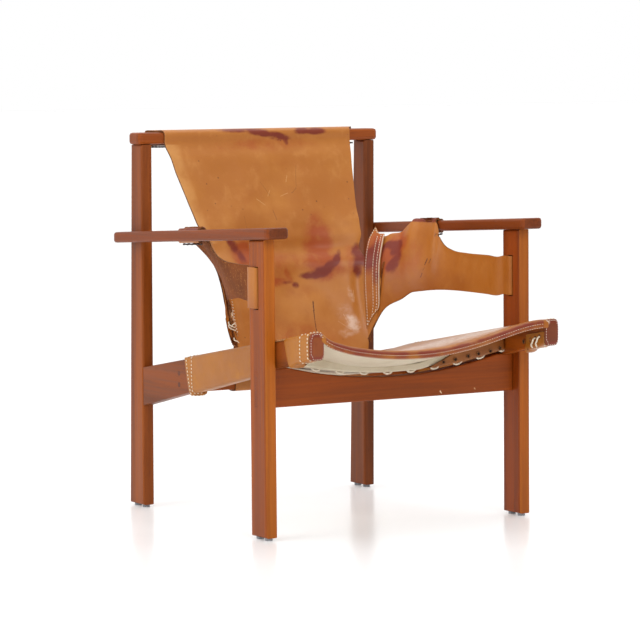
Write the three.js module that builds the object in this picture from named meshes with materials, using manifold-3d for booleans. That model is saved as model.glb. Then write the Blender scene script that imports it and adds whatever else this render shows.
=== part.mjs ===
// Leather sling lounge chair: an oiled hardwood frame with a laced hide for the seat and another for the back.
// Millimetres, Z up. X runs across the chair, Y from the front to the rear, and the front faces -Y.
import * as THREE from 'three';
import { mergeVertices } from 'three/addons/utils/BufferGeometryUtils.js';
import Module from 'manifold-3d';

const wasm = await Module();
wasm.setup();

// Fits
const gap = 0.3;
const cord_hole_clearance = 0.5;
const overrun = 8;

// Frame, across
const frame_width = 566;
const front_post_thickness = 25.5;
const rear_post_thickness = 25.5;
const side_rail_thickness = 25;
const arm_outer_overhang = 11.2;
const arm_inner_overhang = 13;
const top_rail_end_overhang = 7;

// Frame, front to rear, measured from a line across the seat
const rail_tip_reach = 426;
const arm_front_overhang = 33;
const arm_rear_overhang = 53.5;
const front_post_reach = 300;
const front_post_depth = 58;
const front_rail_reach = 278;
const front_rail_thickness = 25;
const cross_rail_offset = 74;
const cross_rail_thickness = 24;
const rear_post_offset = 243.5;
const rear_post_foot_depth = 60.5;
const rear_post_top_depth = 45;
const rear_post_lean = 8.5;
const top_rail_overhang = 2;
const top_rail_depth = 46;

// Frame, heights
const glide_height = 5.2;
const rear_post_top = 750;
const top_rail_thickness = 24.3;
const arm_front_top = 602.6;
const arm_rear_top = 570;
const arm_thickness = 22;
const rail_front_top = 404;
const rail_front_bottom = 360.5;
const rail_rear_top = 292;
const rail_rear_bottom = 212.5;
const front_rail_bottom = 253.7;
const front_rail_height = 75.8;
const front_rail_scoop = 30.5;
const front_rail_scoop_width = 490;
const cross_rail_bottom = 253;
const cross_rail_height = 55;

// Edges and joints
const board_ease = 2.5;
const post_ease = 4;
const top_rail_ease = 6;
const top_rail_corner = 10;
const arm_ease = 5;
const arm_corner = 12;
const tip_corner = 10;
const tenon_thickness = 10;
const tenon_length = 30;
const tenon_shoulder = 4;
const through_tenon_shoulder = 2;
const dowel_radius = 4;
const dowel_length = 32;
const screw_radius = 2.5;
const screw_head_radius = 4.5;
const screw_head_height = 4;
const screw_length = 42;
const plug_radius = 5;
const plug_depth = 6;
const plug_edge_distance = 16;
const glide_radius = 7.5;
const glide_pin_radius = 1.6;
const glide_pin_length = 14;
const glide_edge_distance = 13;

// Leather, canvas and cord
const leather = 3.3;
const patch_leather = 2.4;
const strip_leather = 2.2;
const canvas = 1.3;
const sharp_turn = 0.5;
const crease = 1.2;
const seam_gap = 1.7;
const patch_gap = 0.9;
const fold = 3;
const lace_radius = 1.5;
const cord_radius = 2;

// Back hide
const back_hide_width = 448;
const back_hide_rear_width = 500;
const back_hide_bottom_width = 320;
const back_hide_shift = 7;
const back_belly = 37;
const back_hide_return = 22;
const back_hide_under = 14;

// Wings
const strap_slot_bottom = 444;
const strap_slot_height = 82;
const strap_slot_width = 16;
const strap_slot_edge = 22;
const strap_slack = 2;
const wing_bow_depth = 12;
const tab_front_reach = 23;
const tab_rear_reach = 64;
const tab_slot_inset = 12;
const tab_slot_width = 6;
const tab_slot_spare = 3;
const tab_turn_in = 8;

// Seat
const seat_rear_reach = 62;
const seat_front_sag = 42;
const seat_front_skew = 28;
const seat_rear_sag = 27;
const seat_hem = 15;
const lining_dip = 22;
const lining_dip_reach = 297;
const front_wrap_reach = 335;
const rear_wrap_front_reach = 238;
const rear_wrap_rear_reach = 55;
const under_front_reach = 288;
const under_rear_reach = 40;
const under_front_height = 339.2;
const under_rear_height = 283.2;
const under_sag = 30;
const under_rear_sag = 12;
const under_split = 75;
const flap_margin = 9;
const stitch_length = 20;
const stitch_spacing = 55;

// Planes and slopes that the pieces share
const side_plane = frame_width / 2;
const rail_inner = side_plane - side_rail_thickness;
const post_outer = side_plane + gap + front_post_thickness;
const arm_front_reach = front_post_reach + arm_front_overhang;
const arm_rear_reach = rear_post_offset + arm_rear_overhang;
const arm_outer = post_outer + arm_outer_overhang;
const topRailHalf = side_plane + top_rail_end_overhang;
const post_bottom = glide_height + gap;
const front_post_rear = front_post_depth - front_post_reach;
const between = (a, b, share) => a + (b - a) * share;
const along = (y, y0, y1) => (y - y0) / (y1 - y0);
const railShare = (y) => along(y, -rail_tip_reach, rear_post_offset);
const railTop = (y) => between(rail_front_top, rail_rear_top, railShare(y));
const railBottom = (y) => between(rail_front_bottom, rail_rear_bottom, railShare(y));
const armTop = (y) => between(arm_front_top, arm_rear_top, along(y, -arm_front_reach, arm_rear_reach));
const armBottom = (y) => armTop(y) - arm_thickness;
const rearFaceShare = (z) => z / rear_post_top;
const rearPostFront = (z) => rear_post_offset - rear_post_lean * rearFaceShare(z);
const rearPostDepth = (z) => between(rear_post_foot_depth, rear_post_top_depth, rearFaceShare(z));
const rearPostMiddle = (z) => rearPostFront(z) + rearPostDepth(z) / 2;
const topRailBottom = rear_post_top + gap;
const topRailTop = topRailBottom + top_rail_thickness;
const topRailFront = rearPostFront(rear_post_top) - top_rail_overhang;
const armInnerRear = side_plane + gap;
const armInner = (y) => {
  const share = Math.min(1, along(y, -arm_front_reach, rearPostFront(arm_rear_top)));
  return between(side_plane - arm_inner_overhang, armInnerRear, share);
};

// Solids from closed meshes
function solid(geometry) {
  const plain = geometry.index ? geometry.toNonIndexed() : geometry.clone();
  plain.deleteAttribute('normal');
  plain.deleteAttribute('uv');
  const merged = mergeVertices(plain, gap / 1000);
  const vertProperties = new Float32Array(merged.attributes.position.array);
  const triVerts = new Uint32Array(merged.index.array);
  return new wasm.Manifold(new wasm.Mesh({ numProp: 3, vertProperties, triVerts }));
}

function surface(body) {
  const mesh = body.getMesh();
  const geometry = new THREE.BufferGeometry();
  geometry.setAttribute('position', new THREE.BufferAttribute(new Float32Array(mesh.vertProperties), 3));
  geometry.setIndex(new THREE.BufferAttribute(new Uint32Array(mesh.triVerts), 1));
  return geometry;
}

function cut(geometry, ...tools) {
  return surface(tools.reduce((body, tool) => body.subtract(solid(tool)), solid(geometry)));
}

function join(geometry, ...others) {
  return surface(others.reduce((body, other) => body.add(solid(other)), solid(geometry)));
}

function block(x0, x1, y0, y1, z0, z1) {
  const geometry = new THREE.BoxGeometry(x1 - x0, y1 - y0, z1 - z0);
  return geometry.translate((x0 + x1) / 2, (y0 + y1) / 2, (z0 + z1) / 2);
}

// A pin along X, or along Z
function pinX(x0, x1, y, z, radius) {
  const geometry = new THREE.CylinderGeometry(radius, radius, Math.abs(x1 - x0), 12);
  return geometry.rotateZ(Math.PI / 2).translate((x0 + x1) / 2, y, z);
}

function pinZ(x, y, z0, z1, radius) {
  const geometry = new THREE.CylinderGeometry(radius, radius, z1 - z0, 12);
  return geometry.rotateX(Math.PI / 2).translate(x, y, (z0 + z1) / 2);
}

// An outline run straight through a depth, with its rims eased
function eased(shape, depth, ease) {
  return new THREE.ExtrudeGeometry(shape, {
    depth: depth - 2 * ease,
    steps: 1,
    curveSegments: 3,
    bevelEnabled: true,
    bevelThickness: ease,
    bevelSize: ease,
    bevelOffset: -ease,
    bevelSegments: 2,
  }).translate(0, 0, ease);
}

// The outline lies in Y and Z, and the board runs from x0 to x1
function boardAcrossX(shape, x0, x1, ease) {
  const geometry = eased(shape, x1 - x0, ease);
  const turn = new THREE.Matrix4().set(0, 0, 1, x0, 1, 0, 0, 0, 0, 1, 0, 0, 0, 0, 0, 1);
  return geometry.applyMatrix4(turn);
}

// The outline lies in X and Z, and the board runs from y0 to y1
function boardAcrossY(shape, y0, y1, ease) {
  const geometry = eased(shape, y1 - y0, ease);
  const turn = new THREE.Matrix4().set(1, 0, 0, 0, 0, 0, -1, y1, 0, 1, 0, 0, 0, 0, 0, 1);
  return geometry.applyMatrix4(turn);
}

function outline(points) {
  return new THREE.Shape(points.map(([a, b]) => new THREE.Vector2(a, b)));
}

// An outline whose corners are rounded, each by its own radius
function roundedOutline(corners) {
  const shape = new THREE.Shape();
  corners.forEach(([a, b, radius], k) => {
    const before = corners[(k + corners.length - 1) % corners.length];
    const after = corners[(k + 1) % corners.length];
    const here = new THREE.Vector2(a, b);
    const toward = (other) => {
      const step = new THREE.Vector2(other[0], other[1]).sub(here);
      return here.clone().add(step.setLength(radius));
    };
    const start = toward(before);
    const end = toward(after);
    if (k === 0) {
      shape.moveTo(start.x, start.y);
    } else {
      shape.lineTo(start.x, start.y);
    }
    shape.quadraticCurveTo(a, b, end.x, end.y);
  });
  return shape;
}

// The same piece on the other side of the chair
function mirrored(geometry) {
  const copy = geometry.clone().scale(-1, 1, 1);
  const index = copy.index ? Array.from(copy.index.array) : [...Array(copy.attributes.position.count).keys()];
  for (let k = 0; k < index.length; k += 3) {
    [index[k], index[k + 1]] = [index[k + 1], index[k]];
  }
  copy.setIndex(index);
  return copy;
}

// Directions square to a grid of points, from the cells that are kept
function gridNormals(rows, keep) {
  const normals = rows.map((row) => row.map(() => new THREE.Vector3()));
  const cells = rows.map((row) => row.map(() => []));
  for (let i = 0; i + 1 < rows.length; i += 1) {
    for (let j = 0; j + 1 < rows[i].length; j += 1) {
      if (!keep(i, j)) continue;
      const a = rows[i + 1][j + 1].clone().sub(rows[i][j]);
      const b = rows[i + 1][j].clone().sub(rows[i][j + 1]);
      const square = a.cross(b).normalize();
      for (const [p, q] of [[i, j], [i, j + 1], [i + 1, j], [i + 1, j + 1]]) {
        normals[p][q].add(square);
        cells[p][q].push(square);
      }
    }
  }
  normals.forEach((row, i) => row.forEach((normal, j) => {
    if (!cells[i][j].length) return;
    normal.normalize();
    const mean = cells[i][j].reduce((sum, c) => sum + c.dot(normal), 0) / cells[i][j].length;
    normal.divideScalar(Math.max(mean, Math.SQRT1_2));
  }));
  return normals;
}

function offsetGrid(rows, distance, keep = () => true) {
  const normals = gridNormals(rows, keep);
  return rows.map((row, i) => row.map((point, j) => point.clone().addScaledVector(normals[i][j], distance)));
}

// A sheet of even thickness on a grid of points, open where cells are left out
function sheet(rows, thickness, keep = () => true) {
  return shell(rows, offsetGrid(rows, thickness, keep), keep);
}

function shell(rows, far, keep = () => true) {
  const width = rows[0].length;
  const count = rows.length * width;
  const kept = (i, j) => i >= 0 && j >= 0 && i + 1 < rows.length && j + 1 < width && keep(i, j);
  const positions = [];
  [rows, far].forEach((grid) => grid.forEach((row) => row.forEach((p) => positions.push(p.x, p.y, p.z))));
  const index = [];
  const quad = (a, b, c, d) => index.push(a, b, c, a, c, d);
  const at = (i, j) => i * width + j;
  for (let i = 0; i + 1 < rows.length; i += 1) {
    for (let j = 0; j + 1 < width; j += 1) {
      if (!kept(i, j)) continue;
      const [a, b, c, d] = [at(i, j), at(i, j + 1), at(i + 1, j + 1), at(i + 1, j)];
      quad(a, b, c, d);
      quad(c + count, b + count, a + count, d + count);
      if (!kept(i - 1, j)) quad(b, a, a + count, b + count);
      if (!kept(i + 1, j)) quad(d, c, c + count, d + count);
      if (!kept(i, j - 1)) quad(a, d, d + count, a + count);
      if (!kept(i, j + 1)) quad(c, b, b + count, c + count);
    }
  }
  const geometry = new THREE.BufferGeometry();
  geometry.setAttribute('position', new THREE.BufferAttribute(new Float32Array(positions), 3));
  geometry.setIndex(index);
  return outward(geometry);
}

// Turns every face round where the faces point inward
function outward(geometry) {
  const index = Array.from(geometry.index.array);
  const corners = [new THREE.Vector3(), new THREE.Vector3(), new THREE.Vector3()];
  let volume = 0;
  for (let k = 0; k < index.length; k += 3) {
    corners.forEach((corner, n) => corner.fromBufferAttribute(geometry.attributes.position, index[k + n]));
    volume += corners[0].dot(corners[1].clone().cross(corners[2]));
  }
  if (volume < 0) {
    for (let k = 0; k < index.length; k += 3) {
      [index[k], index[k + 1]] = [index[k + 1], index[k]];
    }
  }
  const used = [...new Set(index)];
  const place = new Map(used.map((old, now) => [old, now]));
  const positions = used.flatMap((old) => corners[0].fromBufferAttribute(geometry.attributes.position, old).toArray());
  const result = new THREE.BufferGeometry();
  result.setAttribute('position', new THREE.BufferAttribute(new Float32Array(positions), 3));
  result.setIndex(index.map((old) => place.get(old)));
  return result;
}

// A round cord through points
function cordThrough(points, radius, steps, sides = 6) {
  const curve = new THREE.CatmullRomCurve3(points, false, 'centripetal');
  const section = [];
  for (let k = 0; k < sides; k += 1) {
    const angle = (2 * Math.PI * k) / sides;
    section.push(new THREE.Vector2(radius * Math.cos(angle), radius * Math.sin(angle)));
  }
  const geometry = new THREE.ExtrudeGeometry(new THREE.Shape(section), { steps, extrudePath: curve, bevelEnabled: false });
  geometry.deleteAttribute('normal');
  geometry.deleteAttribute('uv');
  return outward(mergeVertices(geometry, gap / 1000));
}

// The finishes
const wood = new THREE.MeshStandardMaterial({ color: 0x7a4329, roughness: 0.42, metalness: 0 });
const endGrain = new THREE.MeshStandardMaterial({ color: 0x5a2f1d, roughness: 0.6, metalness: 0 });
const tanLeather = new THREE.MeshStandardMaterial({ color: 0x9c6238, roughness: 0.45, metalness: 0 });
const paleLeather = new THREE.MeshStandardMaterial({ color: 0xb98a62, roughness: 0.5, metalness: 0 });
const canvasCloth = new THREE.MeshStandardMaterial({ color: 0xd9ccb4, roughness: 0.9, metalness: 0 });
const whiteCord = new THREE.MeshStandardMaterial({ color: 0xe8e2d6, roughness: 0.8, metalness: 0 });
const darkLace = new THREE.MeshStandardMaterial({ color: 0x3b2418, roughness: 0.7, metalness: 0 });
const steel = new THREE.MeshStandardMaterial({ color: 0x9a9a98, roughness: 0.4, metalness: 1 });
const greyPlastic = new THREE.MeshStandardMaterial({ color: 0x8d8d8a, roughness: 0.6, metalness: 0 });

const chair = new THREE.Group();

function place(name, geometry, material) {
  geometry.computeVertexNormals();
  const mesh = new THREE.Mesh(geometry, material);
  mesh.name = name;
  chair.add(mesh);
  return mesh;
}

function placePair(name, geometry, material) {
  place(`${name}_right`, geometry, material);
  place(`${name}_left`, mirrored(geometry), material);
}

// A screw along X with its head at x0, and the room that it needs
function screw(x0, y, z) {
  const head = pinX(x0, x0 + screw_head_height, y, z, screw_head_radius);
  return join(head, pinX(x0, x0 + screw_length, y, z, screw_radius));
}

function screwRoom(x0, y, z) {
  const head = pinX(x0 - overrun, x0 + screw_head_height + gap, y, z, screw_head_radius + gap);
  return join(head, pinX(x0 - overrun, x0 + screw_length + gap, y, z, screw_radius + gap));
}

// Where the screws, dowels and glides sit
const rear_arm_screw_y = rearPostMiddle(arm_rear_top);
const rear_arm_screw_z = armTop(rear_arm_screw_y) - arm_thickness / 2;
const rear_arm_screw_x = side_plane - rear_post_thickness + gap;
const front_joint_y = -front_rail_reach + front_rail_thickness / 2;
const front_joint_z = between(front_rail_bottom + front_rail_height, railTop(front_joint_y), 1 / 2);
const front_joint_x = rail_inner + gap;
const cross_rail_y = cross_rail_offset + cross_rail_thickness / 2;
const plug_heights = [
  cross_rail_bottom + plug_edge_distance,
  cross_rail_bottom + cross_rail_height - plug_edge_distance,
];
const cross_screw_head_x = side_plane - plug_depth - gap;
const front_dowel_y = -front_post_reach + front_post_depth / 2;
const post_centre_x = side_plane + gap + front_post_thickness / 2;
const rear_post_centre_x = side_plane - rear_post_thickness / 2;
const topDowelY = rearPostMiddle(rear_post_top);

function upright(front, rear, x0, x1, ease) {
  const shape = outline([[front[0], front[1]], [rear[0], rear[1]], [rear[2], rear[3]], [front[2], front[3]]]);
  return boardAcrossX(shape, x0, x1, ease);
}

function glidePin(x, y) {
  return pinZ(x, y, post_bottom - overrun, post_bottom + glide_pin_length + gap, glide_pin_radius + gap);
}

// Front posts: upright, mortised for the front rail and slotted for the strap
const front_glides = [-front_post_reach + glide_edge_distance, front_post_rear - glide_edge_distance];
const tenonY0 = -front_rail_reach + (front_rail_thickness - tenon_thickness) / 2;
const tenonY1 = tenonY0 + tenon_thickness;
const tenonZ0 = front_rail_bottom + through_tenon_shoulder;
const tenonZ1 = front_rail_bottom + front_rail_height - through_tenon_shoulder;
const slotY0 = -front_post_reach + strap_slot_edge;
const slotY1 = slotY0 + strap_slot_width;
const strapSlot = block(side_plane - overrun, post_outer + overrun, slotY0, slotY1,
  strap_slot_bottom, strap_slot_bottom + strap_slot_height);
const frontPostBlank = upright(
  [-front_post_reach, post_bottom, -front_post_reach, armBottom(-front_post_reach) - gap],
  [front_post_rear, post_bottom, front_post_rear, armBottom(front_post_rear) - gap],
  side_plane + gap, post_outer, post_ease);
const frontPost = cut(
  frontPostBlank,
  strapSlot,
  block(side_plane - overrun, post_outer + overrun, tenonY0 - gap, tenonY1 + gap, tenonZ0 - gap, tenonZ1 + gap),
  screwRoom(front_joint_x, front_joint_y, front_joint_z),
  pinZ(post_centre_x, front_dowel_y, armBottom(front_dowel_y) - dowel_length, armTop(front_dowel_y), dowel_radius + gap),
  glidePin(post_centre_x, front_glides[0]),
  glidePin(post_centre_x, front_glides[1]),
);
placePair('front_post', frontPost, wood);

// Rear posts: they taper upward, carry the top rail and take the side rails' tenons
const rear_glides = [rear_post_offset + glide_edge_distance, rear_post_offset + rear_post_foot_depth - glide_edge_distance];
const rearPostBlank = upright(
  [rear_post_offset, post_bottom, rearPostFront(rear_post_top), rear_post_top],
  [rear_post_offset + rear_post_foot_depth, post_bottom, rearPostFront(rear_post_top) + rear_post_top_depth, rear_post_top],
  side_plane - rear_post_thickness, side_plane, post_ease);
const railTenonX0 = side_plane - (side_rail_thickness + tenon_thickness) / 2;
const railTenonX1 = railTenonX0 + tenon_thickness;
const railTenonZ0 = rail_rear_bottom + tenon_shoulder;
const railTenonZ1 = rail_rear_top - tenon_shoulder;
const railEnd = (z) => rearPostFront(z) - gap;
const railRearEnd = railEnd(rail_rear_top);
const railTenonEnd = railRearEnd + tenon_length;
const rearPost = cut(
  rearPostBlank,
  block(railTenonX0 - gap, railTenonX1 + gap, rearPostFront(rear_post_top) - overrun, railTenonEnd + gap,
    railTenonZ0 - gap, railTenonZ1 + gap),
  screwRoom(rear_arm_screw_x, rear_arm_screw_y, rear_arm_screw_z),
  pinZ(rear_post_centre_x, topDowelY, rear_post_top - dowel_length / 2 - gap, topRailTop, dowel_radius + gap),
  glidePin(rear_post_centre_x, rear_glides[0]),
  glidePin(rear_post_centre_x, rear_glides[1]),
);
placePair('rear_post', rearPost, wood);

// Top rail: lies on the rear posts, with well rounded ends and edges
const topRailShape = roundedOutline([
  [-topRailHalf, topRailFront, top_rail_corner],
  [topRailHalf, topRailFront, top_rail_corner],
  [topRailHalf, topRailFront + top_rail_depth, top_rail_corner],
  [-topRailHalf, topRailFront + top_rail_depth, top_rail_corner],
]);
const topDowelRoom = (side) => pinZ(side * rear_post_centre_x, topDowelY, rear_post_top - overrun,
  rear_post_top + dowel_length / 2 + gap, dowel_radius + gap);
place('top_rail', cut(
  eased(topRailShape, top_rail_thickness, top_rail_ease).translate(0, 0, topRailBottom),
  topDowelRoom(1),
  topDowelRoom(-1),
), wood);

// Arms: boards that slope down to the rear, with a slot for the leather tab
const tabSlotX0 = armInner(0) + tab_slot_inset;
const tabSlotX1 = tabSlotX0 + tab_slot_width;
const armShape = roundedOutline([
  [armInner(-arm_front_reach), -arm_front_reach, arm_corner],
  [arm_outer, -arm_front_reach, arm_corner],
  [arm_outer, arm_rear_reach, arm_corner],
  [armInnerRear, arm_rear_reach, arm_corner],
  [armInnerRear, rearPostFront(arm_rear_top), 0],
]);
const armSlope = (arm_front_top - arm_rear_top) / (arm_front_reach + arm_rear_reach);
const armTilt = new THREE.Matrix4().set(1, 0, 0, 0, 0, 1, 0, 0, 0, -armSlope, 1, armBottom(0), 0, 0, 0, 1);
const tabSlot = block(tabSlotX0, tabSlotX1, -tab_front_reach - tab_slot_spare, tab_rear_reach + tab_slot_spare,
  armBottom(tab_rear_reach) - overrun, armTop(-tab_front_reach) + overrun);
const arm = cut(
  eased(armShape, arm_thickness, arm_ease).applyMatrix4(armTilt),
  tabSlot,
  screwRoom(rear_arm_screw_x, rear_arm_screw_y, rear_arm_screw_z),
  pinZ(post_centre_x, front_dowel_y, armBottom(front_dowel_y) - overrun,
    armBottom(front_dowel_y) + arm_thickness / 2 + gap, dowel_radius + gap),
);
placePair('arm', arm, wood);

// Front rail: scooped along its top, with tenons that show on the posts
const frontRailTop = front_rail_bottom + front_rail_height;
const scoopHalf = front_rail_scoop_width / 2;
const scoop_steps = 14;
const frontRailPoints = [[-side_plane, front_rail_bottom], [side_plane, front_rail_bottom], [side_plane, frontRailTop]];
for (let k = 0; k <= scoop_steps; k += 1) {
  const share = 1 - (2 * k) / scoop_steps;
  frontRailPoints.push([scoopHalf * share, frontRailTop - front_rail_scoop * (1 - share * share)]);
}
frontRailPoints.push([-side_plane, frontRailTop]);
const throughTenon = block(-post_outer, post_outer, tenonY0, tenonY1, tenonZ0, tenonZ1);
const lowTenonStrip = block(-side_plane + overrun, side_plane - overrun, tenonY0 - overrun, tenonY1 + overrun,
  tenonZ0, tenonZ1 + overrun);
place('front_rail', join(
  boardAcrossY(outline(frontRailPoints), -front_rail_reach, -front_rail_reach + front_rail_thickness, board_ease),
  cut(throughTenon, lowTenonStrip),
), wood);

// Side rails: slope down to the rear, notched over the front rail and tenoned into the rear posts
const sideRailShape = roundedOutline([
  [-rail_tip_reach, railBottom(-rail_tip_reach), tip_corner],
  [railEnd(rail_rear_bottom), railBottom(railEnd(rail_rear_bottom)), 0],
  [railEnd(rail_rear_top), railTop(railEnd(rail_rear_top)), 0],
  [-rail_tip_reach, railTop(-rail_tip_reach), tip_corner],
]);
const railNotch = block(rail_inner - overrun, side_plane + overrun, -front_rail_reach - gap,
  -front_rail_reach + front_rail_thickness + gap, rail_rear_bottom, frontRailTop + gap);
const plugRoom = (z) => pinX(cross_screw_head_x, side_plane + overrun, cross_rail_y, z, plug_radius + gap);
const crossScrewRoom = (z) => mirrored(screwRoom(-cross_screw_head_x, cross_rail_y, z));
const sideRail = cut(
  join(
    boardAcrossX(sideRailShape, rail_inner, side_plane, board_ease),
    block(railTenonX0, railTenonX1, railRearEnd - overrun, railTenonEnd, railTenonZ0, railTenonZ1),
  ),
  railNotch,
  screwRoom(front_joint_x, front_joint_y, front_joint_z),
  ...plug_heights.map(plugRoom),
  ...plug_heights.map(crossScrewRoom),
);
placePair('side_rail', sideRail, wood);

// Rear cross rail: between the side rails, where the back hide is tied
const crossRailEnd = rail_inner - gap;
const crossRailBlank = boardAcrossX(roundedOutline([
  [cross_rail_offset, cross_rail_bottom, board_ease],
  [cross_rail_offset + cross_rail_thickness, cross_rail_bottom, board_ease],
  [cross_rail_offset + cross_rail_thickness, cross_rail_bottom + cross_rail_height, board_ease],
  [cross_rail_offset, cross_rail_bottom + cross_rail_height, board_ease],
]), -crossRailEnd, crossRailEnd, gap);
place('rear_cross_rail', cut(
  crossRailBlank,
  ...plug_heights.map(crossScrewRoom),
  ...plug_heights.map((z) => screwRoom(-cross_screw_head_x, cross_rail_y, z)),
), wood);

// Screws, plugs, dowels and glides
plug_heights.forEach((z, k) => {
  const name = k ? 'upper' : 'lower';
  placePair(`cross_rail_screw_${name}`, mirrored(screw(-cross_screw_head_x, cross_rail_y, z)), steel);
  placePair(`screw_plug_${name}`, pinX(cross_screw_head_x + gap, side_plane, cross_rail_y, z, plug_radius), endGrain);
});
placePair('arm_screw', screw(rear_arm_screw_x, rear_arm_screw_y, rear_arm_screw_z), steel);
placePair('side_rail_screw', screw(front_joint_x, front_joint_y, front_joint_z), steel);
placePair('arm_dowel', pinZ(post_centre_x, front_dowel_y, armBottom(front_dowel_y) - dowel_length + gap,
  armBottom(front_dowel_y) + arm_thickness / 2, dowel_radius), wood);
placePair('top_rail_dowel', pinZ(rear_post_centre_x, topDowelY, rear_post_top - dowel_length / 2,
  rear_post_top + dowel_length / 2, dowel_radius), wood);

function glide(x, y) {
  const foot = pinZ(x, y, 0, glide_height, glide_radius);
  return join(foot, pinZ(x, y, 0, post_bottom + glide_pin_length, glide_pin_radius));
}
placePair('front_post_glide_front', glide(post_centre_x, front_glides[0]), greyPlastic);
placePair('front_post_glide_rear', glide(post_centre_x, front_glides[1]), greyPlastic);
placePair('rear_post_glide_front', glide(rear_post_centre_x, rear_glides[0]), greyPlastic);
placePair('rear_post_glide_rear', glide(rear_post_centre_x, rear_glides[1]), greyPlastic);

// Back hide: tied behind the cross rail, up to the top rail, over it and laced beneath it.
// The seam stations have shares: height, half width and depth of the seam, the same of the strip's outer edge,
// belly of the hide, and how far the hide reaches under the strip.
const seam_shares = [
  [0.072, 0.714, 0.021, 0.721, 0.013, 0.32, 1],
  [0.118, 0.723, 0.050, 0.751, 0.000, 0.54, 1],
  [0.163, 0.733, 0.078, 0.780, -0.030, 0.68, 1],
  [0.231, 0.741, 0.118, 0.812, -0.055, 0.84, 1],
  [0.298, 0.755, 0.171, 0.830, -0.023, 0.97, 1],
  [0.366, 0.770, 0.211, 0.847, 0.014, 1.00, 1],
  [0.434, 0.795, 0.256, 0.872, 0.053, 0.92, 0.08],
  [0.502, 0.850, 0.327, 0.925, 0.116, 0, 0],
  [0.558, 0.926, 0.409, 0.996, 0.214, 0, 0],
];
// The free stations above have shares: height, half width and depth near the edge, the same at the edge, belly.
const free_station_shares = [
  [0.502, 0.783, 0.418, 0.806, 0.419, 0.70],
  [0.558, 0.805, 0.462, 0.846, 0.456, 0.49],
  [0.592, 0.820, 0.505, 0.853, 0.500, 0.38],
  [0.626, 0.830, 0.545, 0.864, 0.540, 0.27],
  [0.660, 0.840, 0.597, 0.871, 0.594, 0.16],
  [0.728, 0.862, 0.692, 0.897, 0.689, 0.08],
  [0.795, 0.884, 0.772, 0.923, 0.770, 0.00],
  [0.863, 0.911, 0.847, 0.950, 0.845, -0.03],
  [0.931, 0.929, 0.906, 0.971, 0.905, -0.03],
];
const seam_rows = seam_shares.length;
const attached_rows = 7;
const shift_start_share = 0.57;
const inset_share = 0.93;
const across_shares = [-1, -0.8, -0.6, -0.4, -0.2, 0, 0.2, 0.4, 0.6, 0.8, 1];
const crossRailTop = cross_rail_bottom + cross_rail_height;
const crossRailRear = cross_rail_offset + cross_rail_thickness;
const hideTop = { y: topRailFront - gap - leather, z: rear_post_top };
const hideFoot = { y: cross_rail_offset - leather, z: crossRailTop };

function backRow(seam, edge, belly, shift) {
  const inner = across_shares.map((share) => new THREE.Vector3(
    seam.x * share - shift, seam.y + belly * (1 - share * share), seam.z));
  return [
    new THREE.Vector3(-edge.x - shift, edge.y, edge.z),
    ...inner,
    new THREE.Vector3(edge.x - shift, edge.y, edge.z),
  ];
}

function flatRow(y, z, half, shift) {
  return backRow({ x: half * inset_share, y, z }, { x: half, y, z }, 0, shift);
}

const footHalf = back_hide_bottom_width / 2;
const headHalf = back_hide_width / 2;
const rearHalf = back_hide_rear_width / 2;
const footRows = [
  [crossRailRear + gap, cross_rail_bottom + back_hide_return],
  [crossRailRear + gap, cross_rail_bottom + crease],
  [crossRailRear - crease, cross_rail_bottom - gap],
  [cross_rail_offset + crease, cross_rail_bottom - gap],
  [cross_rail_offset - gap, cross_rail_bottom + crease],
  [cross_rail_offset - gap, cross_rail_bottom + cross_rail_height / 2],
  [cross_rail_offset - gap, crossRailTop],
].map(([y, z]) => flatRow(y, z, footHalf, 0));
const hideUp = (share) => between(hideFoot.z, hideTop.z, share);
const hideFront = (share) => between(hideFoot.y, hideTop.y, share);
const seamFront = seam_shares.map(([up, sx, sy, ex, ey]) => [
  new THREE.Vector3(headHalf * sx, hideFront(sy), hideUp(up)),
  new THREE.Vector3(headHalf * ex, hideFront(ey), hideUp(up)),
]);
const seamBehind = (distance) => offsetGrid(seamFront, -distance);
const hideSeam = seamBehind(strip_leather + seam_gap + leather);
const attachedRows = hideSeam.slice(0, attached_rows).map(([seam, outer], k) => {
  const [belly, reach] = seam_shares[k].slice(5);
  return backRow(seam, seam.clone().lerp(outer, reach), back_belly * belly, 0);
});
const freeRows = free_station_shares.map(([up, sx, sy, ex, ey, b]) => {
  const z = hideUp(up);
  const shift = back_hide_shift * Math.max(0, along(up, shift_start_share, 1));
  return backRow(
    { x: headHalf * sx, y: hideFront(sy) + leather, z },
    { x: headHalf * ex, y: hideFront(ey) + leather, z },
    back_belly * b, shift);
});
const topRailRear = topRailFront + top_rail_depth;
const headRows = [
  [topRailFront - gap, topRailBottom + fold, 0],
  [topRailFront - gap, topRailTop - fold, 0],
  [topRailFront + fold, topRailTop + gap, 0.05],
  [topRailFront + top_rail_depth / 2, topRailTop + gap, 0.5],
  [topRailRear - fold, topRailTop + gap, 1],
  [topRailRear + gap, topRailTop - fold, 1],
  [topRailRear + gap, topRailBottom + fold, 0.8],
  [topRailRear - fold, topRailBottom - gap, 0.7],
  [topRailRear - back_hide_under, topRailBottom - gap, 0.6],
].map(([y, z, share]) => flatRow(y, z, between(headHalf, rearHalf, share), back_hide_shift * (1 - share)));
const backRows = [...footRows, ...attachedRows, ...freeRows, ...headRows];
place('back_hide', sheet(backRows, leather), tanLeather);

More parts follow.
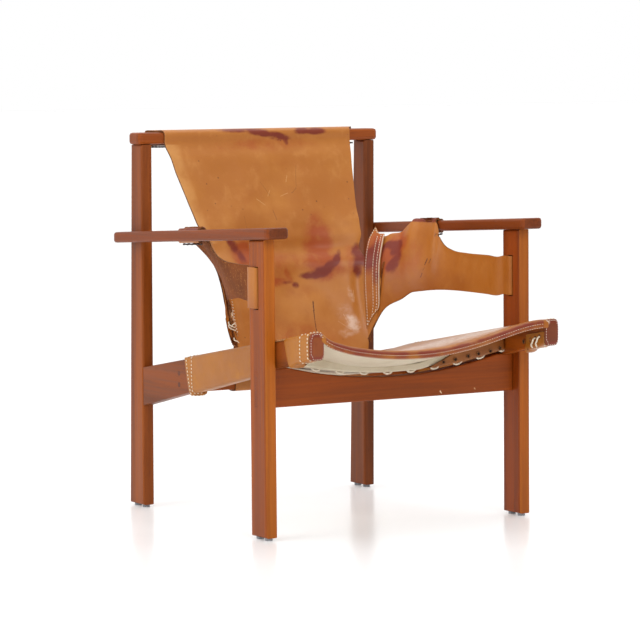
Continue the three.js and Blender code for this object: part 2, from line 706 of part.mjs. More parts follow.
// Wings: each is sewn under the back hide's edge, goes over the arm with a tab and holds to the post with a strap.
// Each column has shares for its low and its high end (across, along, up) and a share of the bow between them.
const wing_column_shares = [
  [0.293, 0.126, 0.305, 0.602, -0.040, 0.886, 1.0],
  [0.415, 0.191, 0.378, 0.732, 0.007, 0.915, 0.9],
  [0.504, 0.227, 0.407, 0.829, 0.025, 0.955, 0.8],
  [0.561, 0.263, 0.419, 0, 0, 1, 0.7],
  [0.618, 0.304, 0.427, 0, 0.25, 1, 0.6],
  [0.675, 0.352, 0.435, 0, 0.5, 1, 0.5],
  [0.724, 0.400, 0.441, 0, 0.75, 1, 0.4],
  [0.772, 0.453, 0.445, 0, 1, 1, 0.3],
  [0.797, 0.483, 0.445, 0.924, 0.340, 0.878, 0.2],
  [0.821, 0.512, 0.447, 0.925, 0.400, 0.805, 0.1],
  [0.862, 0.593, 0.445, 0.927, 0.527, 0.772, 0.1],
  [0.902, 0.712, 0.441, 0.935, 0.697, 0.764, 0.0],
  [0.935, 0.831, 0.436, 0.947, 0.831, 0.758, 0.0],
  [0.959, 0.920, 0.432, 0.963, 0.920, 0.752, 0.0],
];
const first_tab_column = 3;
const last_tab_column = 7;
const wingSeam = seamBehind(strip_leather + seam_gap + leather + seam_gap + leather);
const seamLow = wingSeam[0][0];
const slotFace = slotY1 - gap;
const tabTop = (y) => armTop(y) - fold;
const wingShare = wingSeam.map((row) => along(row[0].z, seamLow.z, wingSeam[seam_rows - 1][0].z));

function wingPoint(x, y, z) {
  return new THREE.Vector3(
    between(seamLow.x, side_plane, x), between(seamLow.y, slotFace, y), between(seamLow.z, tabTop(0), z));
}

function wingEnds(shares, column) {
  const [lx, ly, lz, ux, uy, uz] = shares;
  const low = wingPoint(lx, ly, lz);
  if (column < first_tab_column || column > last_tab_column) return [low, wingPoint(ux, uy, uz)];
  const y = between(tab_rear_reach, -tab_front_reach, uy);
  return [low, new THREE.Vector3(armInner(y) - gap, y, tabTop(y))];
}

const wingColumns = wing_column_shares.map((shares, column) => {
  const [low, high] = wingEnds(shares, column);
  return wingShare.map((share) => {
    const bow = wing_bow_depth * shares[6] * 4 * share * (1 - share);
    return low.clone().lerp(high, share).add(new THREE.Vector3(-bow, -bow / 2, 0));
  });
});

// The strap lies on the post's inner face, goes through its slot and comes back round its rear half
const postRear = front_post_rear + gap;
const loopPath = [
  [side_plane, front_post_rear - fold],
  [side_plane, slotFace + sharp_turn],
  [side_plane + sharp_turn, slotFace],
  [post_outer + gap - sharp_turn, slotFace],
  [post_outer + gap, slotFace + sharp_turn],
  [post_outer + gap, postRear - 2 * crease],
  [post_outer + gap - 2 * crease, postRear],
  [side_plane + gap + post_ease, postRear],
];
const strapLow = strap_slot_bottom + strap_slack;
const strapHigh = strap_slot_bottom + strap_slot_height - strap_slack;
loopPath.forEach(([x, y]) => {
  wingColumns.push(wingShare.map((share) => new THREE.Vector3(x, y, between(strapLow, strapHigh, share))));
});

// The tab goes over the arm, down through its slot and back under it
const tabPath = (y) => [
  [armInner(y) + fold, armTop(y) + gap],
  [tabSlotX0 + gap - sharp_turn, armTop(y) + gap],
  [tabSlotX0 + gap, armTop(y) + gap - sharp_turn],
  [tabSlotX0 + gap, armBottom(y) - gap + sharp_turn],
  [tabSlotX0 + gap - sharp_turn, armBottom(y) - gap],
  [tabSlotX0 - tab_turn_in, armBottom(y) - gap],
];
const wingRows = wingShare.map((share, i) => [...wingSeam[i], ...wingColumns.map((column) => column[i])]);
const tab_rows = tabPath(0).length;
const mainRows = wingRows.length;
const tabStart = first_tab_column + 2;
const tabEnd = last_tab_column + 2;
for (let k = 0; k < tab_rows; k += 1) {
  wingRows.push(wingRows[mainRows - 1].map((point) => {
    const [x, z] = tabPath(point.y)[k];
    return new THREE.Vector3(x, point.y, z);
  }));
}
const wingKeep = (i, j) => i + 1 < mainRows || (j >= tabStart && j < tabEnd);
placePair('wing', sheet(wingRows, leather, wingKeep), tanLeather);

// Seam strips: each covers the joint of hide and wing on the inside, under three rows of stitches
placePair('seam_strip', shell(seamBehind(strip_leather), seamBehind(0)), tanLeather);

// Seam patches: a strip of smooth leather over the outside of each seam's lower end
const patch_rows = 5;
const patch_columns = 3;
const patchFace = (distance) => offsetGrid(wingRows.slice(0, mainRows), -distance)
  .slice(0, patch_rows)
  .map((row) => row.slice(0, patch_columns));
placePair('seam_patch', shell(patchFace(patch_gap + patch_leather), patchFace(patch_gap)), paleLeather);

// Seat: a hide slung between the side rails and wrapped round them, cut away at the front posts
const sling_shares = [-0.95, -0.8, -0.6, -0.4, -0.2, 0, 0.2, 0.4, 0.6, 0.8, 0.95];
const seatShare = (y) => along(y, -rail_tip_reach, seat_rear_reach);
const seatSag = (y) => between(seat_front_sag, seat_rear_sag, seatShare(y));
const seatSkew = (y) => seat_front_skew * (1 - seatShare(y)) ** 2;
const slingHeight = (share, y) => railTop(y) + gap - (seatSag(y) - seatSkew(y) * share) * (1 - share * share);
const underEdge = (y) => between(under_front_height, under_rear_height, along(y, -under_front_reach, under_rear_reach));
const flapTop = (y) => Math.max(underEdge(y) + flap_margin, railBottom(y) + 2 * fold);

function railWrap(y) {
  const top = railTop(y);
  const bottom = railBottom(y);
  return [
    [rail_inner + fold, top + gap],
    [side_plane - crease, top + gap],
    [side_plane + gap, top - crease],
    [side_plane + gap, bottom + crease],
    [side_plane - crease, bottom - gap],
    [rail_inner + crease, bottom - gap],
    [rail_inner - gap, bottom + crease],
    [rail_inner - gap, flapTop(y)],
  ];
}

function seatRow(y) {
  const right = railWrap(y).map(([x, z]) => new THREE.Vector3(x, y, z));
  const left = railWrap(y).map(([x, z]) => new THREE.Vector3(-x, y, z)).reverse();
  const middle = sling_shares.map((share) => new THREE.Vector3(rail_inner * share, y, slingHeight(share, y)));
  return [...left, ...middle, ...right];
}

const seatFront = -rail_tip_reach + crease;
const spread = (y0, y1, count) => Array.from({ length: count }, (_, k) => between(y0, y1, (k + 1) / count));
const seatStations = [
  seatFront,
  ...spread(seatFront, -front_wrap_reach, 3),
  ...spread(-front_wrap_reach, -rear_wrap_front_reach, 3),
  ...spread(-rear_wrap_front_reach, rear_wrap_rear_reach, 9),
  seat_rear_reach,
];
const wrap_columns = railWrap(0).length;
const hem_rows = 2;
const frontWrapEnd = hem_rows + 3;
const rearWrapStart = frontWrapEnd + 3;
const rearWrapEnd = rearWrapStart + 9;
const seatRows = seatStations.map(seatRow);
const seatWidth = seatRows[0].length;
const hemRows = [seat_hem, fold].map((drop) => seatRows[0].map((point) => (
  new THREE.Vector3(point.x, point.y - fold, point.z - drop))));
const seatGrid = [...hemRows, ...seatRows];
function seatKeep(i, j) {
  const outer = Math.min(j, seatWidth - 2 - j);
  if (i < hem_rows) return outer >= wrap_columns;
  if (outer >= wrap_columns - 2) return true;
  return i < frontWrapEnd || (i >= rearWrapStart && i < rearWrapEnd);
}
place('seat_hide', sheet(seatGrid, leather, seatKeep), tanLeather);

// The canvas lining starts close under the hide's front edge, dips toward the lower layer and comes up again behind
const liningTent = (y) => Math.min(along(y, seatFront, -lining_dip_reach),
  along(y, rear_wrap_rear_reach, -lining_dip_reach));
const liningRows = seatStations.slice(0, -1).map((y) => sling_shares.map((share) => new THREE.Vector3(
  rail_inner * share, y, slingHeight(share, y) - lining_dip * liningTent(y) * (1 - share * share))));
place('seat_lining', sheet(offsetGrid(liningRows, -gap), -canvas), canvasCloth);

// Tip caps: leather sewn over the front ends of the side rails
const capReach = leather + gap;
const capShape = roundedOutline([
  [rail_inner - capReach, rail_front_bottom - capReach, tip_corner],
  [side_plane + capReach, rail_front_bottom - capReach, tip_corner],
  [side_plane + capReach, rail_front_top + capReach, tip_corner],
  [rail_inner - capReach, rail_front_top + capReach, tip_corner],
]);
const capRear = -rail_tip_reach - gap;
placePair('tip_cap', boardAcrossY(capShape, capRear - leather, capRear, gap), tanLeather);

// Lower layer of the seat: canvas on the left, a leather panel on the right, with a cord sewn along its front
const underEnd = rail_inner - 3 * gap - leather;
const underSag = (y) => between(under_sag, under_rear_sag, along(y, -under_front_reach, under_rear_reach));
const underHeight = (x, y) => underEdge(y) - underSag(y) * (1 - (x / underEnd) ** 2);
const underStations = [-under_front_reach, ...spread(-under_front_reach, under_rear_reach, 8)];
const underGrid = (x0, x1, count) => underStations.map((y) => [x0, ...spread(x0, x1, count)].map((x) => (
  new THREE.Vector3(x, y, underHeight(x, y)))));
const hemCordY = -under_front_reach + 2 * fold;
const cordLift = cord_radius + gap + leather / 2;
const hemCordStart = -underEnd + stitch_spacing;
const hemCordCount = Math.floor((2 * underEnd - stitch_spacing) / stitch_spacing);
const hemCordPoints = [];
for (let k = 0; k < hemCordCount; k += 1) {
  const x = hemCordStart + k * stitch_spacing;
  [[x, 1], [x + 3 * fold, -1], [x + stitch_length, -1], [x + stitch_length + 3 * fold, 1]].forEach(([a, side]) => {
    hemCordPoints.push(new THREE.Vector3(a, hemCordY, underHeight(a, hemCordY) + leather / 2 + side * cordLift));
  });
}
const hem_cord_steps = 64;
const hemCordRoom = cordThrough(hemCordPoints, cord_radius + cord_hole_clearance, hem_cord_steps, 8);
place('under_canvas', cut(sheet(underGrid(-underEnd, under_split - gap, 8), canvas), hemCordRoom), canvasCloth);
place('under_panel', cut(sheet(underGrid(under_split, underEnd, 5), leather), hemCordRoom), paleLeather);
place('hem_cord', cordThrough(hemCordPoints, cord_radius, hem_cord_steps, 8), whiteCord);

// Lacing: cords that zigzag from an edge to its neighbour
function zigzag(count, point) {
  return Array.from({ length: count }, (_, k) => point(k / (count - 1), k % 2));
}
const flapFace = rail_inner - gap - leather - gap - cord_radius;
const laceEnds = [-rear_wrap_front_reach + overrun, under_rear_reach - overrun];
placePair('side_lacing', cordThrough(zigzag(16, (share, side) => {
  const y = between(laceEnds[0], laceEnds[1], share);
  const x = flapFace - side * 2 * overrun;
  const low = underHeight(x, y) - gap - cord_radius;
  return new THREE.Vector3(x, y, low);
}), cord_radius, 30), whiteCord);
const tipEnds = [-rail_tip_reach + 2 * overrun, -front_wrap_reach - 2 * overrun];
placePair('tip_lacing', cordThrough(zigzag(7, (share, side) => {
  const y = between(tipEnds[0], tipEnds[1], share);
  return new THREE.Vector3(flapFace, y, railBottom(y) + side * (flapTop(y) - railBottom(y)));
}), cord_radius, 18), whiteCord);
const tabLaceDrop = gap + leather + gap + lace_radius;
placePair('tab_lacing', cordThrough(zigzag(10, (share, side) => {
  const y = between(-tab_front_reach + fold, tab_rear_reach - fold, share);
  return new THREE.Vector3(tabSlotX0 - fold - side * tab_turn_in / 2, y, armBottom(y) - tabLaceDrop);
}), lace_radius, 18), darkLace);
const topLaceHeight = topRailBottom - gap - leather - gap - lace_radius;
place('top_lacing', cordThrough(zigzag(26, (share, side) => new THREE.Vector3(
  between(-rearHalf + overrun, rearHalf - overrun, share),
  topRailRear - back_hide_under / 2 - side * 2 * back_hide_under / 3 - side * fold, topLaceHeight)),
lace_radius, 50), darkLace);
const footLaceDepth = crossRailRear + gap + leather + gap + lace_radius;
const foot_lace_loops = 7;
const footLacePoints = [];
for (let k = 0; k < foot_lace_loops; k += 1) {
  const x0 = between(-footHalf + overrun, footHalf - overrun, k / foot_lace_loops);
  const step = (2 * footHalf - 2 * overrun) / foot_lace_loops / 4;
  footLacePoints.push(
    new THREE.Vector3(x0, footLaceDepth, cross_rail_bottom + back_hide_return - fold),
    new THREE.Vector3(x0 + step, footLaceDepth, crossRailTop + crease),
    new THREE.Vector3(x0 + 2 * step, crossRailRear - fold, crossRailTop + fold),
    new THREE.Vector3(x0 + 3 * step, footLaceDepth, crossRailTop + crease),
  );
}
place('foot_lacing', cordThrough(footLacePoints, lace_radius, 54), whiteCord);

// The origin is at the middle of the footprint, on the floor
const box = new THREE.Box3().setFromObject(chair);
const centre = box.getCenter(new THREE.Vector3());
chair.children.forEach((mesh) => mesh.position.set(-centre.x, -centre.y, -box.min.z));

export default chair;
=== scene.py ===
"""A leather sling lounge chair: a hardwood frame with one hide laced across it for the back and one for the seat."""
import math

import bpy
import numpy as np
from mathutils import Matrix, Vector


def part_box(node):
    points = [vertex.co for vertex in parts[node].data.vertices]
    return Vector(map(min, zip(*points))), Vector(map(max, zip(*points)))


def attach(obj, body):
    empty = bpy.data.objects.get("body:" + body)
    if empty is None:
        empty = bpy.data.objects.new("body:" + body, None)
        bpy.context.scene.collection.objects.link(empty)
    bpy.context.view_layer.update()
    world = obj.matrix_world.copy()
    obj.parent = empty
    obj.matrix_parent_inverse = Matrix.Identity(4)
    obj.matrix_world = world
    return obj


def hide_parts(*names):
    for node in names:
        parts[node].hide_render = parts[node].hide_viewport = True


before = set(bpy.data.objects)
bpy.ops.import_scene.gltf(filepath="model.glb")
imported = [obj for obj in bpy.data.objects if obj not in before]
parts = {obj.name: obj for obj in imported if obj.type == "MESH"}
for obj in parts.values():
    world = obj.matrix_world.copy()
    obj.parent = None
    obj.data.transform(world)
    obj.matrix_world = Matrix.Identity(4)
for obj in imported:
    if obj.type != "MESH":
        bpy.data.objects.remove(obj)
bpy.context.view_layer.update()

# Studio
# A white floor and a surround that is white behind and at the sides and dimmer in front, with three broad lights.
# A long lens stands 6.2 m off the chair's front left corner, at the photograph's angle.
rear_foot_reach = 0.304
seat_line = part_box("rear_post_right")[1].y - rear_foot_reach
view_turn, view_drop, view_roll = math.radians(31.47), math.radians(4.62), math.radians(-0.47)
view_distance, view_aside, view_height = 6.24641, 0.0009, 0.89645
outward = np.array([math.sin(view_turn), math.cos(view_turn), 0])
level = np.array([math.cos(view_turn), -math.sin(view_turn), 0])
ahead = outward * math.cos(view_drop) - (0, 0, math.sin(view_drop))
upward = np.cross(level, ahead)
right = level * math.cos(view_roll) + upward * math.sin(view_roll)
top = upward * math.cos(view_roll) - level * math.sin(view_roll)
stand = -view_distance * outward - view_aside * level + (0, seat_line, view_height)
lens = bpy.data.cameras.new("long_lens")
lens.sensor_width = 36
lens.lens = 172.88
lens.clip_end = 200


def posed(name, data, side, over, away, place):
    """Puts an object into the scene, with its three axes and its place."""
    made = bpy.data.objects.new(name, data)
    made.matrix_world = Matrix([[side[k], over[k], away[k], place[k]] for k in range(3)] + [[0, 0, 0, 1]])
    bpy.context.collection.objects.link(made)
    return made


bpy.context.scene.camera = posed("camera", lens, right, top, -ahead, stand)
bpy.context.scene.view_settings.view_transform = "Standard"


def add(tree, kind, inputs=(), **settings):
    """Adds a node and sets it up: an input that is a socket is linked, and any other is a plain value."""
    made = tree.nodes.new(kind)
    for name, value in settings.items():
        setattr(made, name, value)
    for name, value in dict(inputs).items():
        if isinstance(value, bpy.types.NodeSocket):
            tree.links.new(value, made.inputs[name])
        else:
            made.inputs[name].default_value = value
    return made


def feed(tree, sockets, values):
    """Links values to sockets by their names."""
    for name, value in values.items():
        tree.links.new(value, sockets[name])


def paint(code):
    """A colour from its usual six-figure code, made linear: the code's share to the power 2.4 above the toe."""
    shares = np.array([int(code[k:k + 2], 16) for k in (0, 2, 4)]) / 255
    bright = np.where(shares > 0.04045, ((shares + 0.055) / 1.055) ** 2.4, shares / 12.92)
    return (*bright.tolist(), 1.0)


def finish_of(name, sockets):
    """A material whose Principled shader has its sockets set; returns it, its tree, the shader's sockets and the
    piece's own coordinates."""
    material = bpy.data.materials.new(name)
    material.use_nodes = True
    tree = material.node_tree
    shader = tree.nodes["Principled BSDF"].inputs
    for socket, value in sockets.items():
        shader[socket].default_value = value
    return material, tree, shader, add(tree, "ShaderNodeTexCoord").outputs["Object"]


surround = bpy.data.worlds.new("white_surround")
surround.use_nodes = True
tree = surround.node_tree
way_out = add(tree, "ShaderNodeSeparateXYZ", {0: add(tree, "ShaderNodeTexCoord").outputs["Generated"]})
glow = add(tree, "ShaderNodeMapRange", {
    "Value": way_out.outputs["Y"], "From Min": -0.9, "From Max": 0.0, "To Min": 0.3, "To Max": 1.0})
tree.nodes["Background"].inputs["Color"].default_value = (1, 1, 1, 1)
feed(tree, tree.nodes["Background"].inputs, {"Strength": glow.outputs[0]})
bpy.context.scene.world = surround

floor_reach = 60
floor_mesh = bpy.data.meshes.new("studio_floor")
floor_mesh.from_pydata([(x * floor_reach, y * floor_reach, 0) for x, y in ((-1, -1), (1, -1), (1, 1), (-1, 1))], [],
                       [(0, 1, 2, 3)])
floor = bpy.data.objects.new("studio_floor", floor_mesh)
bpy.context.collection.objects.link(floor)
floor_white, tree, shader, place = finish_of("floor_white", {
    "Base Color": (0.86, 0.86, 0.86, 1), "Specular IOR Level": 0.35,
    "Emission Color": (1, 1, 1, 1), "Emission Strength": 0.2})
smudge = add(tree, "ShaderNodeTexNoise", {"Vector": place, "Scale": 3.0})
feed(tree, shader, {"Roughness": add(tree, "ShaderNodeMapRange", {
    "Value": smudge.outputs["Fac"], "To Min": 0.16, "To Max": 0.3}).outputs[0]})
floor.data.materials.append(floor_white)
chair_middle = (0, 0, 0.4)


def soft_light(name, place, size, power):
    """A square area light at a place, turned to face the middle of the chair."""
    light = bpy.data.lights.new(name, "AREA")
    light.shape = "SQUARE"
    light.size = size
    light.energy = power
    away = np.array(place) - chair_middle
    away = away / np.linalg.norm(away)
    side = np.cross((0, 0, 1), away)
    side = side / np.linalg.norm(side)
    posed(name, light, side, np.cross(away, side), away, place)


soft_light("left_bank", (-3.6, 0.2, 1.9), 2.2, 37)
soft_light("front_bank", (-0.4, -4.2, 2.6), 2.0, 82)
soft_light("top_bank", (0.3, 0.4, 3.2), 2.4, 30)

# Front posts
# Two uprights of oiled, reddish hardwood, mortised for the front rail and slotted for the wings' straps.
# They keep their solids; the finish is a wood whose grain runs up the post, darker where an end is cut across, and
# painted lighter and more orange on the faces turned to the front, as a painted highlight where the light falls.
wood_light, wood_dark, wood_pore = "a04e0c", "7f3a09", "4a1c07"


def new_group(name, takes, gives):
    """An empty node group with named sockets and their kinds; returns it, what it takes and what it gives."""
    group = bpy.data.node_groups.new(name, "ShaderNodeTree")
    for way, sockets in (("INPUT", takes), ("OUTPUT", gives)):
        for label, kind in sockets.items():
            group.interface.new_socket(label, in_out=way, socket_type="NodeSocket" + kind)
    return group, group.nodes.new("NodeGroupInput").outputs, group.nodes.new("NodeGroupOutput").inputs


def blended(tree, share, a, b, kind="RGBA"):
    """Mixes a and b by a share, and returns the result's socket."""
    slots = {"RGBA": (0, 6, 7, 2), "FLOAT": (0, 2, 3, 0)}[kind]
    return add(tree, "ShaderNodeMix", dict(zip(slots, (share, a, b))), data_type=kind).outputs[slots[3]]


def ranged(tree, value, low, high, to_low=0.0, to_high=1.0):
    """Turns a value between low and high into one between two others, as a smooth step held beyond them."""
    return add(tree, "ShaderNodeMapRange", {
        "Value": value, "From Min": low, "From Max": high, "To Min": to_low, "To Max": to_high},
        interpolation_type="SMOOTHSTEP").outputs[0]


def noise(tree, vector, stretch, detail=3.0, roughness=0.55):
    """A noise whose features are 1/stretch metres long, the same each way or in X, Y and Z; returns its value."""
    stretch = stretch if isinstance(stretch, tuple) else (stretch,) * 3
    scaled = add(tree, "ShaderNodeMapping", {"Vector": vector, "Scale": stretch})
    return add(tree, "ShaderNodeTexNoise", {
        "Vector": scaled.outputs[0], "Scale": 1.0, "Detail": detail, "Roughness": roughness}).outputs["Fac"]


def bumped(tree, height, strength, distance):
    """The normal of a surface that a height raises."""
    return add(tree, "ShaderNodeBump", {"Height": height, "Strength": strength, "Distance": distance}).outputs[0]


def combine(tree, kind, a, b):
    """One sum, product or the like of two values."""
    return add(tree, "ShaderNodeMath", {0: a, 1: b}, operation=kind).outputs[0]


def vector(tree, kind, a, b, gives="Vector"):
    """One sum, product or the like of two vectors."""
    return add(tree, "ShaderNodeVectorMath", {0: a, 1: b}, operation=kind).outputs[gives]


line_mask, takes, gives = new_group("line_mask", {
    "Vector": "Vector", "From": "Vector", "To": "Vector", "Width": "Float"}, {"Mask": "Float"})
tree = line_mask
way = vector(tree, "SUBTRACT", takes["To"], takes["From"])
off = vector(tree, "SUBTRACT", takes["Vector"], takes["From"])
share = add(tree, "ShaderNodeMath", {0: vector(tree, "DOT_PRODUCT", off, way, "Value"), 1: vector(
    tree, "DOT_PRODUCT", way, way, "Value")}, operation="DIVIDE", use_clamp=True).outputs[0]
foot = add(tree, "ShaderNodeVectorMath", {0: way, "Scale": share}, operation="SCALE").outputs[0]
widths_off = combine(tree, "DIVIDE", vector(tree, "DISTANCE", off, foot, "Value"), takes["Width"])
feed(tree, gives, {"Mask": ranged(tree, widths_off, 0.5, 1.3, 1.0, 0.0)})


def lined(tree, place, colour, lines, plane):
    """Draws short marks over a colour. Each is a line between two places in millimetres, seen along one axis, with a
    width, a colour and a strength; a fine noise shifts it by up to 1.5 mm, which makes it ragged."""
    shaken = add(tree, "ShaderNodeTexNoise", {"Vector": place, "Scale": 300.0, "Detail": 3.0}).outputs["Color"]
    shaken = vector(tree, "MULTIPLY", vector(tree, "SUBTRACT", shaken, (0.5, 0.5, 0.5)), (0.003, 0.003, 0.003))
    flat = vector(tree, "MULTIPLY", vector(tree, "ADD", place, shaken), plane)
    for first, last, width, shade, strength in lines:
        ends = [tuple(np.insert(np.array(end) / 1000, plane.index(0), 0) + np.multiply((0, seat_line, 0), plane))
                for end in (first, last)]
        mask = add(tree, "ShaderNodeGroup", node_tree=line_mask)
        feed(tree, mask.inputs, {"Vector": flat})
        for label, value in (("From", ends[0]), ("To", ends[1]), ("Width", width / 1000)):
            mask.inputs[label].default_value = value
        colour = blended(tree, combine(tree, "MULTIPLY", mask.outputs[0], strength), colour, paint(shade))
    return colour


wood_grain, takes, gives = new_group("wood_grain", {
    "Vector": "Vector", "Light": "Color", "Dark": "Color", "Pore": "Color"},
    {"Colour": "Color", "Roughness": "Float", "Height": "Float"})
tree = wood_grain
bands = noise(tree, takes["Vector"], (26, 26, 1.1), 2)
streaks = noise(tree, takes["Vector"], (190, 190, 5), 4, 0.6)
flecks = noise(tree, takes["Vector"], (900, 900, 34), 3, 0.6)
figure = combine(tree, "ADD", combine(tree, "MULTIPLY", bands, 0.62),
                 combine(tree, "MULTIPLY", streaks, 0.38))
pores = ranged(tree, flecks, 0.60, 0.70)
timber = blended(tree, ranged(tree, figure, 0.36, 0.64), takes["Dark"], takes["Light"])
feed(tree, gives, {
    "Colour": blended(tree, combine(tree, "MULTIPLY", pores, 0.45), timber, takes["Pore"]),
    "Roughness": ranged(tree, streaks, 0.3, 0.7, 0.40, 0.52),
    "Height": combine(tree, "SUBTRACT", combine(tree, "MULTIPLY", streaks, 0.3), pores)})
grain_turns = {"Z": (0, 0, 0), "Y": (math.pi / 2, 0, 0), "X": (0, math.pi / 2, 0)}


def oiled_wood(name, along, light=wood_light, dark=wood_dark, shift=(0, 0, 0), faded=0.0, lines=()):
    """Oiled hardwood with its grain along X, Y or Z: the cut ends, whose normals lie along the grain, go darker, the
    faces turned to the front are painted lighter and more orange by a share, a painted highlight for the light that
    falls on them, and knocks show as short marks."""
    material, tree, shader, place = finish_of(name, {
        "Specular IOR Level": 0.22, "Coat Weight": 0.05, "Coat Roughness": 0.2})
    turned = add(tree, "ShaderNodeMapping", {"Vector": place, "Rotation": grain_turns[along], "Location": shift})
    light, dark, pore = paint(light), paint(dark), paint(wood_pore)
    grain = add(tree, "ShaderNodeGroup", node_tree=wood_grain)
    for socket, value in (("Light", light), ("Dark", dark), ("Pore", pore)):
        grain.inputs[socket].default_value = value
    feed(tree, grain.inputs, {"Vector": turned.outputs[0]})
    facing = add(tree, "ShaderNodeSeparateXYZ", {0: add(tree, "ShaderNodeNewGeometry").outputs["Normal"]}).outputs
    end = ranged(tree, combine(tree, "ABSOLUTE", facing["XYZ".index(along)], 0.0), 0.75, 0.95, 0.0, 0.5)
    cut = blended(tree, ranged(tree, noise(tree, place, 700), 0.4, 0.6), dark, pore)
    colour = blended(tree, end, grain.outputs["Colour"], cut)
    # Painted highlight: faces turned to the front go lighter and more orange, where the light falls on them
    if faded:
        front = ranged(tree, facing["Y"], -0.6, -0.9)
        painted_front_light = ranged(tree, noise(tree, place, (150, 150, 4)), 0.35, 0.65, faded * 0.6, faded)
        colour = blended(tree, combine(tree, "MULTIPLY", front, painted_front_light), colour, paint("c8741c"))
    feed(tree, shader, {"Base Color": lined(tree, place, colour, lines, (1, 0, 1)),
                        "Roughness": grain.outputs["Roughness"],
                        "Normal": bumped(tree, grain.outputs["Height"], 0.25, 0.0006)})
    return material


def finish(node, material):
    """Gives a solid of the frame its finish."""
    slots = parts[node].data.materials
    slots.clear()
    slots.append(material)


def wooden(node, along, **looks):
    """Gives a solid of the frame an oiled wood of its own."""
    finish(node, oiled_wood(node + "_wood", along, **looks))


wooden("front_post_left", "Z", shift=(0.1, 0.2, 0.0), faded=0.42)
wooden("front_post_right", "Z", light="96430a", dark="763206", shift=(0.5, 0.1, 0.4), faded=0.42)

# Rear posts
# Taller uprights of the same wood that taper toward the top rail; the side rails are tenoned into them.
wooden("rear_post_left", "Z", light="954a10", dark="74360b", shift=(0.9, 0.3, 0.2))
wooden("rear_post_right", "Z", light="84400f", dark="66300b", shift=(0.2, 0.7, 0.9))

# Top rail
# A rounded rail dowelled on the rear posts, with its grain across the chair; the back hide hangs over it.
wooden("top_rail", "X", light="9a4a12", shift=(0.3, 0.8, 0.1))

# Arms
# Two boards that slope down to the rear, dowelled on the front posts and screwed to the rear ones.
# Each has a slot for the tab of its wing, and their wood is darker than the posts'.
wooden("arm_left", "Y", light="843c0d", dark="6a300a", shift=(0.0, 0.4, 0.7))
wooden("arm_right", "Y", light="843c0d", dark="6a300a", shift=(0.6, 0.2, 0.3))

# Front rail
# The board between the front posts, scooped along its top, with tenons that show on the posts' outer faces.
# Its front face has pale chips.
wooden("front_rail", "X", light="9c4709", shift=(0.2, 0.5, 0.6), lines=[
    ((107, 263), (110, 259), 1.2, "e8c8a0", 0.9), ((108, 249), (110, 245), 1.3, "efd6b4", 0.9),
    ((189, 264), (191, 262), 1.1, "d9ac7c", 0.8), ((-60, 243), (-56, 240), 1.0, "d9ac7c", 0.7)])

# Side rails
# Boards that carry the seat: their front ends stick out as tips, and their rear ends enter the rear posts.
wooden("side_rail_left", "Y", light="884210", dark="69320c", shift=(0.8, 0.1, 0.5))
wooden("side_rail_right", "Y", shift=(0.4, 0.6, 0.2))

# Rear cross rail
# A plain rail screwed between the side rails; the foot of the back hide is wrapped round it and laced.
wooden("rear_cross_rail", "X", shift=(0.7, 0.3, 0.8))

# Screws, plugs, dowels and glides
# Steel screws under end-grain plugs, wooden dowels, and grey plastic glides nailed under the four posts.


def speckled(name, sockets, stretch, detail=3.0, colours=None, rough=None, low=0.35):
    """A plain finish broken up by one noise, which goes from one colour to another between a low share and its
    complement, and over a range of roughness."""
    material, tree, shader, place = finish_of(name, sockets)
    grains = noise(tree, place, stretch, detail)
    if colours:
        feed(tree, shader, {"Base Color": blended(tree, ranged(tree, grains, low, 1 - low), *map(paint, colours))})
    if rough:
        feed(tree, shader, {"Roughness": ranged(tree, grains, 0.3, 0.7, *rough)})
    return material


plug_wood = oiled_wood("plug_wood", "X", light="7d4323", dark="55290f")
dowel_wood = oiled_wood("dowel_wood", "Z")
screw_steel = speckled("screw_steel", {"Metallic": 1.0, "Base Color": paint("a3a19c")}, 900, 2, rough=(0.28, 0.5))
glide_grey = speckled("glide_grey", {"Specular IOR Level": 0.4}, 260, colours=("7f8288", "a3a6ab"),
                      rough=(0.45, 0.65))
for side in ("left", "right"):
    for height in ("lower", "upper"):
        finish("screw_plug_%s_%s" % (height, side), plug_wood)
        finish("cross_rail_screw_%s_%s" % (height, side), screw_steel)
    for name in ("arm_screw_", "side_rail_screw_"):
        finish(name + side, screw_steel)
    for name in ("arm_dowel_", "top_rail_dowel_"):
        finish(name + side, dowel_wood)
    for post in ("front_post", "rear_post"):
        for end in ("front", "rear"):
            finish("%s_glide_%s_%s" % (post, end, side), glide_grey)

# Back hide
# One thick vegetable-tanned hide: its foot is laced round the cross rail, its head goes over the top rail and is
# laced beneath it. The grain side faces the sitter, stained and rubbed with age, with a painted highlight on some
# rubbed places and painted shade at the foot, and the rear is bare suede.
hide_thickness, hide_pitch = 3.3, 3.4
# Stations of the seam, from the foot up: height, seam half width and depth, outer half width and depth,
# belly, and how far the hide reaches under the strip
seam_stations = np.array([
    (339.8, 159.9, 74.0, 161.5, 72.8, 11.8, 1.0), (360.2, 162.0, 78.6, 168.2, 70.7, 20.0, 1.0),
    (380.0, 164.2, 83.1, 174.7, 65.9, 25.2, 1.0), (410.1, 166.0, 89.4, 181.9, 62.0, 31.1, 1.0),
    (439.7, 169.1, 97.8, 185.9, 67.0, 35.9, 1.0), (469.8, 172.5, 104.2, 189.7, 72.9, 37.0, 1.0),
    (499.8, 178.1, 111.3, 195.3, 79.1, 34.0, 0.08), (529.9, 190.4, 122.6, 207.2, 89.1, 0, 0),
    (554.6, 207.4, 135.6, 223.1, 104.7, 0, 0)])
